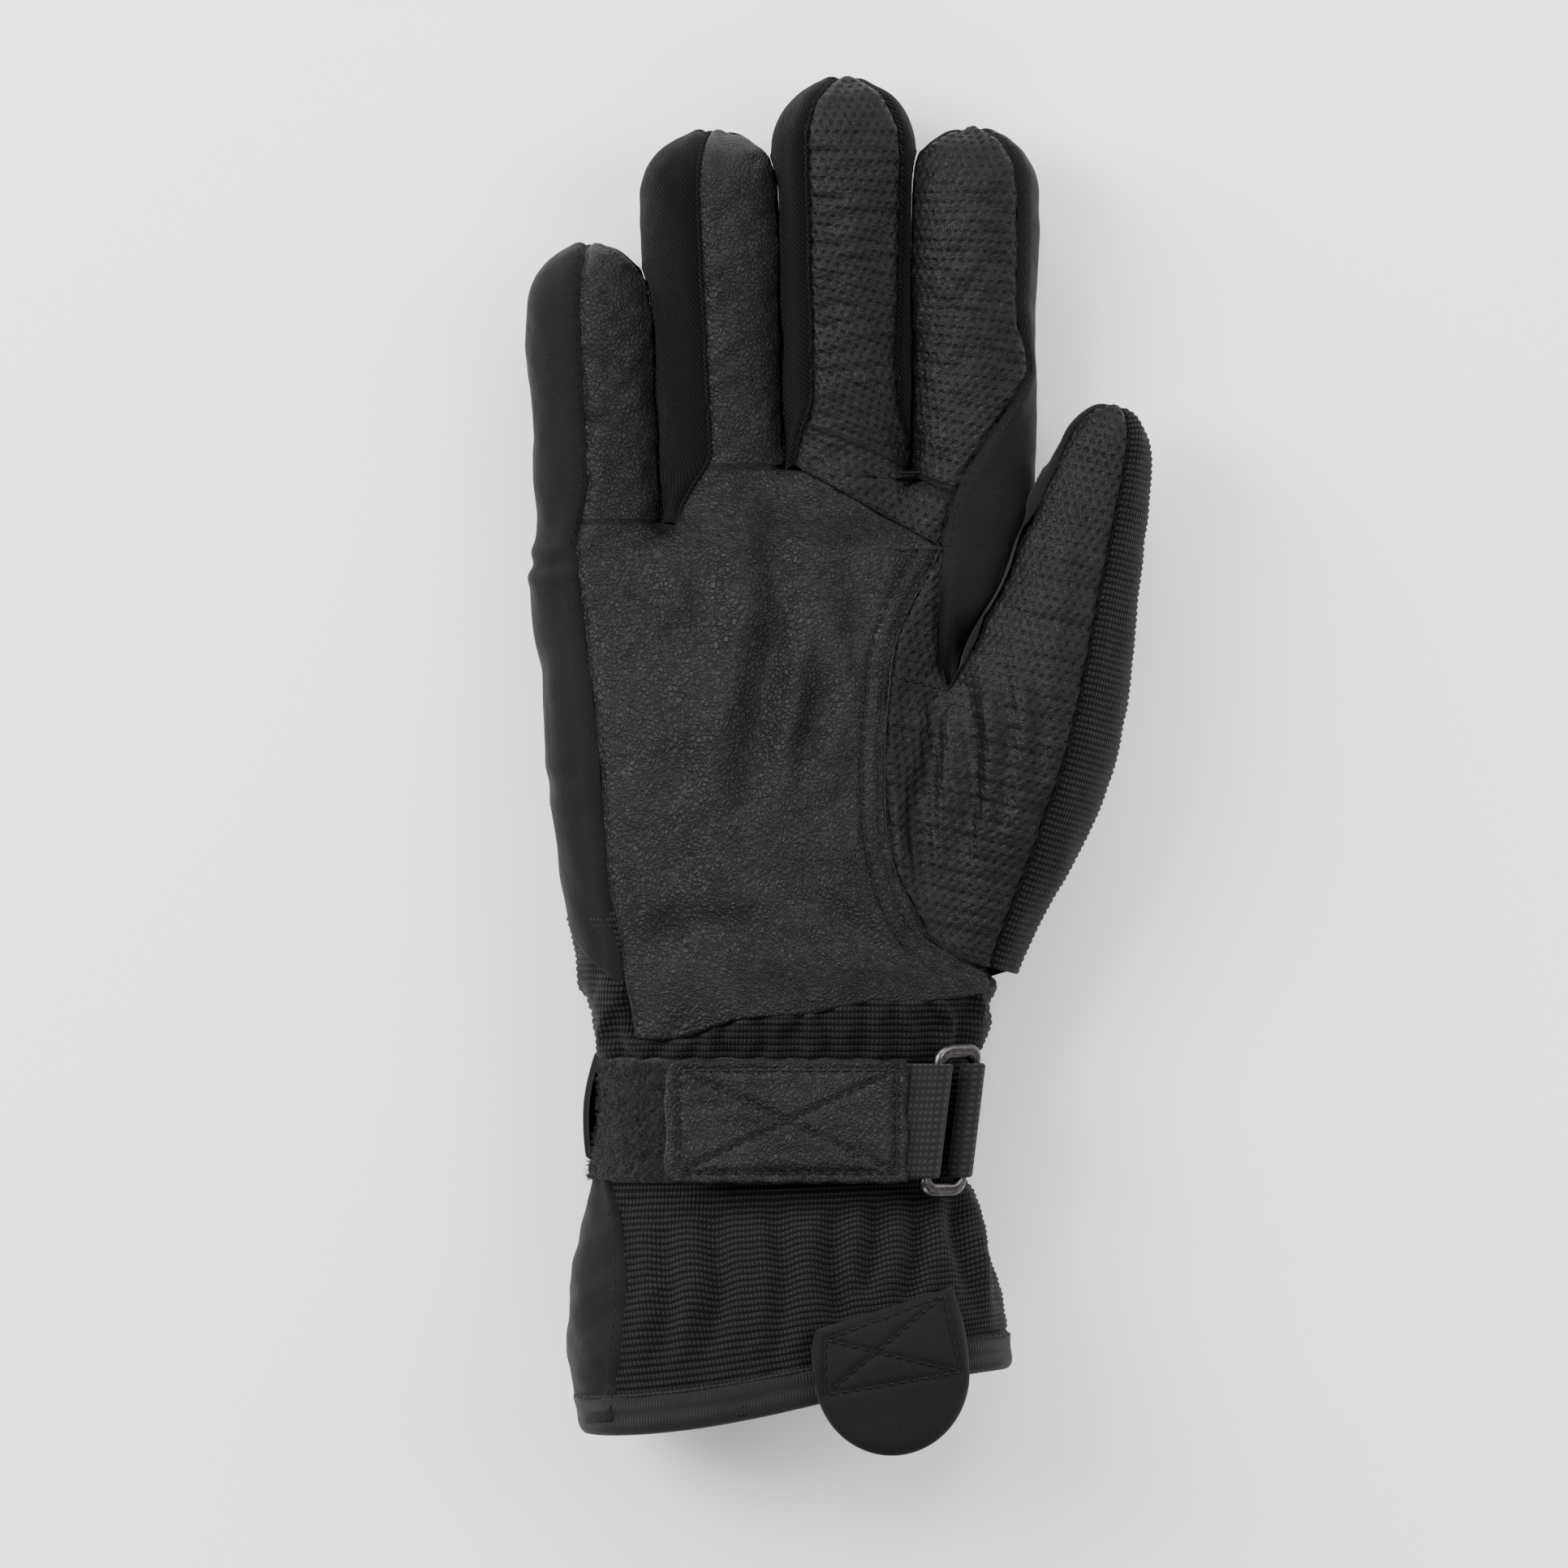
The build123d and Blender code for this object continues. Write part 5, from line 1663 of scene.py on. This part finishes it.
def make_ring():
    """A rectangular wire ring with round corners, between the two webbings."""
    bar, anchor = place_of("strap_peel"), place_of("buckle_swing")
    low, high = box_mm("buckle")
    middle, reach = (bar + anchor) / 2, (anchor - bar) * (1, 0, 1)
    half_wide = np.linalg.norm(reach) / 2 + 0.3
    reach = reach / np.linalg.norm(reach)
    half_long = (high[1] - low[1]) / 2 - 1.1
    outline = []
    for sx, sy, start in ((1, 1, 0), (-1, 1, 90), (-1, -1, 180), (1, -1, 270)):
        centre = (sx * (half_wide - RING_CORNER), sy * (half_long - RING_CORNER))
        outline += arc(centre, RING_CORNER, start, start + 90, 9)
    outline.append(outline[0])
    y = np.array((0, 1.0, 0))
    path = np.array([middle * (1, 0, 1) + y * (STRAP_Y + b) + reach * a for a, b in outline])
    path, _ = even(path, 0.5)
    normal = np.broadcast_to(np.cross(y, reach), path.shape)
    turn = np.linspace(0, 2 * pi, 17)
    ends = ease(half_long - 3.2, half_long - 0.6, np.abs(path[:, 1] - STRAP_Y))[:, None]
    radius = RING_WIRE + (0.25 + 0.45 * ends) * np.abs(np.sin(turn))[None]
    grid = tube(path, normal, radius, 16)
    grid.points = leaning(grid.points)
    lay("strap_ring", [grid], "buckle_metal", "buckle", "buckle")


def slab(size, to_plan, surface, thick, step, relief=None):
    """Top and bottom of a flat piece: to_plan turns shares of its size into x and y, surface gives z."""
    a, b = np.meshgrid(*(steps_of(length, step) for length in size))
    x, y = to_plan(a, b)
    points = np.stack((x, y, surface(x, y)), -1)
    up = np.broadcast_to(UP, points.shape)
    grid = Grid(points, up.copy())
    distance = border_distance(grid)
    q = 1 - np.clip(distance / (0.9 * thick), 0, 1)
    half = thick / 2 * np.sqrt(np.maximum(0, 1 - q * q))
    puff = relief(points, distance) if relief else 0.0
    top, bottom = grid.raised(half + puff), grid.raised(-half)
    bottom.points = bottom.points[:, ::-1]
    bottom.u, bottom.v = bottom.u[:, ::-1], bottom.v[:, ::-1]
    return top, bottom


def box_cross(corners):
    """The five runs of a stitched box with a cross in it, in plan."""
    a, b, c, d = corners
    return ((a, b, c, d, a), (a, c), (b, d))


def stitched(routes, surface, lift, length=2.0, pitch=2.6, radius=0.19):
    """Stitches along routes in plan on a surface given by its height."""
    threads = []
    for route in routes:
        places = even(np.array([(x, y, 0) for x, y in route], float), 0.4)[0]
        places[:, 2] = surface(places[:, 0], places[:, 1]) + lift
        threads += stitches(places, np.broadcast_to(UP, places.shape), length, pitch, radius, 0.05)
    return threads


def make_tab():
    """The stitched leather tab."""
    low, high = box_mm("strap_tab")
    corner, thick = 3.4, high[2] - low[2] + 0.3

    def to_plan(a, b):
        y = low[1] + (high[1] - low[1]) * b
        over = np.maximum(0, np.abs(y - STRAP_Y) - (high[1] - low[1]) / 2 + corner)
        left = low[0] + corner - np.sqrt(np.maximum(0, corner**2 - over**2))
        left = left + 0.25 * np.sin(y / 2.2)
        right = high[0] + 0.3 * np.sin(y / 1.9)
        return left + (right - left) * a, y + 0.2 * np.sin(a * 40)

    def surface(x, y):
        lift = 0.7 * ease(low[0] + 16, low[0], x) + 0.25 * np.sin(x / 6.0) * np.cos(y / 5.0)
        return (low[2] + high[2]) / 2 + lift

    inset = 2.3
    corners = (
        (low[0] + inset + 0.6, low[1] + inset), (high[0] - inset, low[1] + inset),
        (high[0] - inset, high[1] - inset), (low[0] + inset + 0.6, high[1] - inset),
    )
    routes = box_cross(corners)

    def relief(p, distance):
        puff = 0.5 * ease(0.5, 5, distance)
        return puff + route_relief(p, routes, 0.6, 0.9) + 0.15 * wobble(p, 4, 81)

    grids = slab((high - low)[:2], to_plan, surface, thick, 0.4, relief)
    lay("leather_tab", grids, "leather", "strap_flap", "strap_tab")
    threads = stitched(routes, surface, thick / 2 + 0.02)
    lay("tab_stitching", threads, "thread", "strap_flap")


def make_hook_patch():
    """The flat patch of hooks under the tab."""
    low, high = box_mm("hook_patch")

    def to_plan(a, b):
        return mix(low[0], high[0], a), mix(low[1], high[1], b)

    def surface(x, y):
        return np.full_like(x, (low[2] + high[2]) / 2)

    grids = slab((high - low)[:2], to_plan, surface, high[2] - low[2], 0.9)
    lay("hook_patch_pile", grids, "hook_loop", "strap_flap", "hook_patch")


# ---- Pull tab ----
def make_pull_tab():
    """The neoprene tab over the hem: a sewn upper half and a free, round end."""
    hinge = place_of("pull_tab_fold")
    low, high = box_mm("pull_tab_end")
    base_high = box_mm("pull_tab_base")[1]
    centre_x, half = hinge[0], (high[0] - low[0]) / 2 + 0.4
    top_left = (centre_x - half + 0.2, base_high[1] - 8.4)
    top_right = (centre_x + half - 3.6, base_high[1] + 0.6)
    round_y, thick = low[1] + half + 0.6, 2.9

    def to_plan(a, b):
        turn = pi * (a - 0.5)
        bottom_x, bottom_y = centre_x + half * np.sin(turn), round_y - (half + 0.6) * np.cos(turn)
        top_x, top_y = mix(top_left[0], top_right[0], a), mix(top_left[1], top_right[1], a)
        swell = 0.8 * np.sin(pi * b) * (2 * a - 1)
        return mix(top_x, bottom_x, b) + swell, mix(top_y, bottom_y, b)

    def surface(x, y):
        on_cuff = np.maximum(y, HEM_Y + (x - HEM_X) * HEM_SLANT + 5)
        return above(x, on_cuff, hand_field)[..., 2] + 1.0 + thick / 2

    upper = (
        (top_left[0] + 2.0, top_left[1] - 2.0), (top_right[0] - 2.0, top_right[1] - 1.6),
        (centre_x + half - 2.0, hinge[1] + 5.5), (centre_x - half + 2.2, hinge[1] + 0.8),
    )
    routes = box_cross(upper)

    def relief(p, distance):
        return 0.25 * ease(0.5, 4, distance) + route_relief(p, routes, 0.5, 0.8) + 0.1 * wobble(p, 6, 91)

    size = (2 * half, top_right[1] - low[1])
    piece = write_mesh("neoprene_pull_tab", slab(size, to_plan, surface, thick, 0.5, relief), "neoprene")
    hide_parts("pull_tab_base", "pull_tab_end")
    bend(piece, "cuff", "pull_tab", hinge + (0, 1.5, 0), hinge - (0, 1.5, 0))
    threads = stitched(routes, surface, thick / 2 + 0.1, length=1.8, pitch=2.5, radius=0.17)
    lay("pull_tab_stitching", threads, "thread", "cuff")


# ---- The whole glove ----
for finger_number in range(len(FINGERS)):
    make_finger(finger_number)
thumb_grids = thumb_panels()
hand_grids = palm_panels(thumb_grids)
thumb_grids["back_thumb"] = hand_grids["back_thumb"]
make_thumb(thumb_grids)
make_hand(hand_grids)
make_cuff()
make_loop_panel()
make_strap_back()
make_webbing()
make_ring()
make_tab()
make_hook_patch()
make_pull_tab()


# ---- Studio ----
FRAME_WIDTH, FRAME_MIDDLE = 0.338, (-0.0111, -0.0046)
CAMERA_HEIGHT, FOCUS_HEIGHT = 3.0, 0.03  # the camera's height over the palm, and the palm's
SENSOR = 36.0
PAPER_WHITE, WORLD_STRENGTH = 0.86, 0.14

floor_mesh = bpy.data.meshes.new("floor")
floor_mesh.from_pydata([(-3, -3, 0), (3, -3, 0), (3, 3, 0), (-3, 3, 0)], [], [(0, 1, 2, 3)])
floor = bpy.data.objects.new("floor", floor_mesh)
floor.location.z = min(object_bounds()[0][2], 0) - 0.0002
bpy.context.scene.collection.objects.link(floor)
paper = bpy.data.materials.new("floor paper")
paper.use_nodes = True
paper_surface = paper.node_tree.nodes["Principled BSDF"]
paper_surface.inputs["Base Color"].default_value = (PAPER_WHITE, PAPER_WHITE, PAPER_WHITE, 1)
paper_surface.inputs["Roughness"].default_value = 0.9
floor_mesh.materials.append(paper)

LIGHTS = (  # place, width and height, watts
    ((-1.1, 0.5, 0.9), (0.8, 1.3), 60),
    ((1.1, 0.3, 0.8), (0.8, 1.3), 24),
    ((0.1, 1.3, 0.9), (1.4, 0.7), 30),
    ((0.0, 0.3, 1.9), (0.5, 0.5), 3),
    ((0.1, -1.2, 0.9), (1.4, 0.6), 14),
)
for place, size, power in LIGHTS:
    lamp = bpy.data.lights.new("softbox", "AREA")
    lamp.shape = "RECTANGLE"
    lamp.size, lamp.size_y = size
    lamp.energy = power
    softbox = bpy.data.objects.new("softbox", lamp)
    softbox.location = place
    softbox.rotation_euler = (-Vector(place)).to_track_quat("-Z", "Y").to_euler()
    bpy.context.scene.collection.objects.link(softbox)

world = bpy.data.worlds.new("studio")
bpy.context.scene.world = world
world.use_nodes = True
world.node_tree.nodes["Background"].inputs["Color"].default_value = (1, 1, 1, 1)
world.node_tree.nodes["Background"].inputs["Strength"].default_value = WORLD_STRENGTH

camera_data = bpy.data.cameras.new("camera")
camera_data.sensor_width = SENSOR
camera_data.lens = SENSOR * CAMERA_HEIGHT / FRAME_WIDTH
camera_data.clip_end = 20
camera = bpy.data.objects.new("camera", camera_data)
camera.location = (*FRAME_MIDDLE, CAMERA_HEIGHT + FOCUS_HEIGHT)
bpy.context.scene.collection.objects.link(camera)
bpy.context.scene.camera = camera
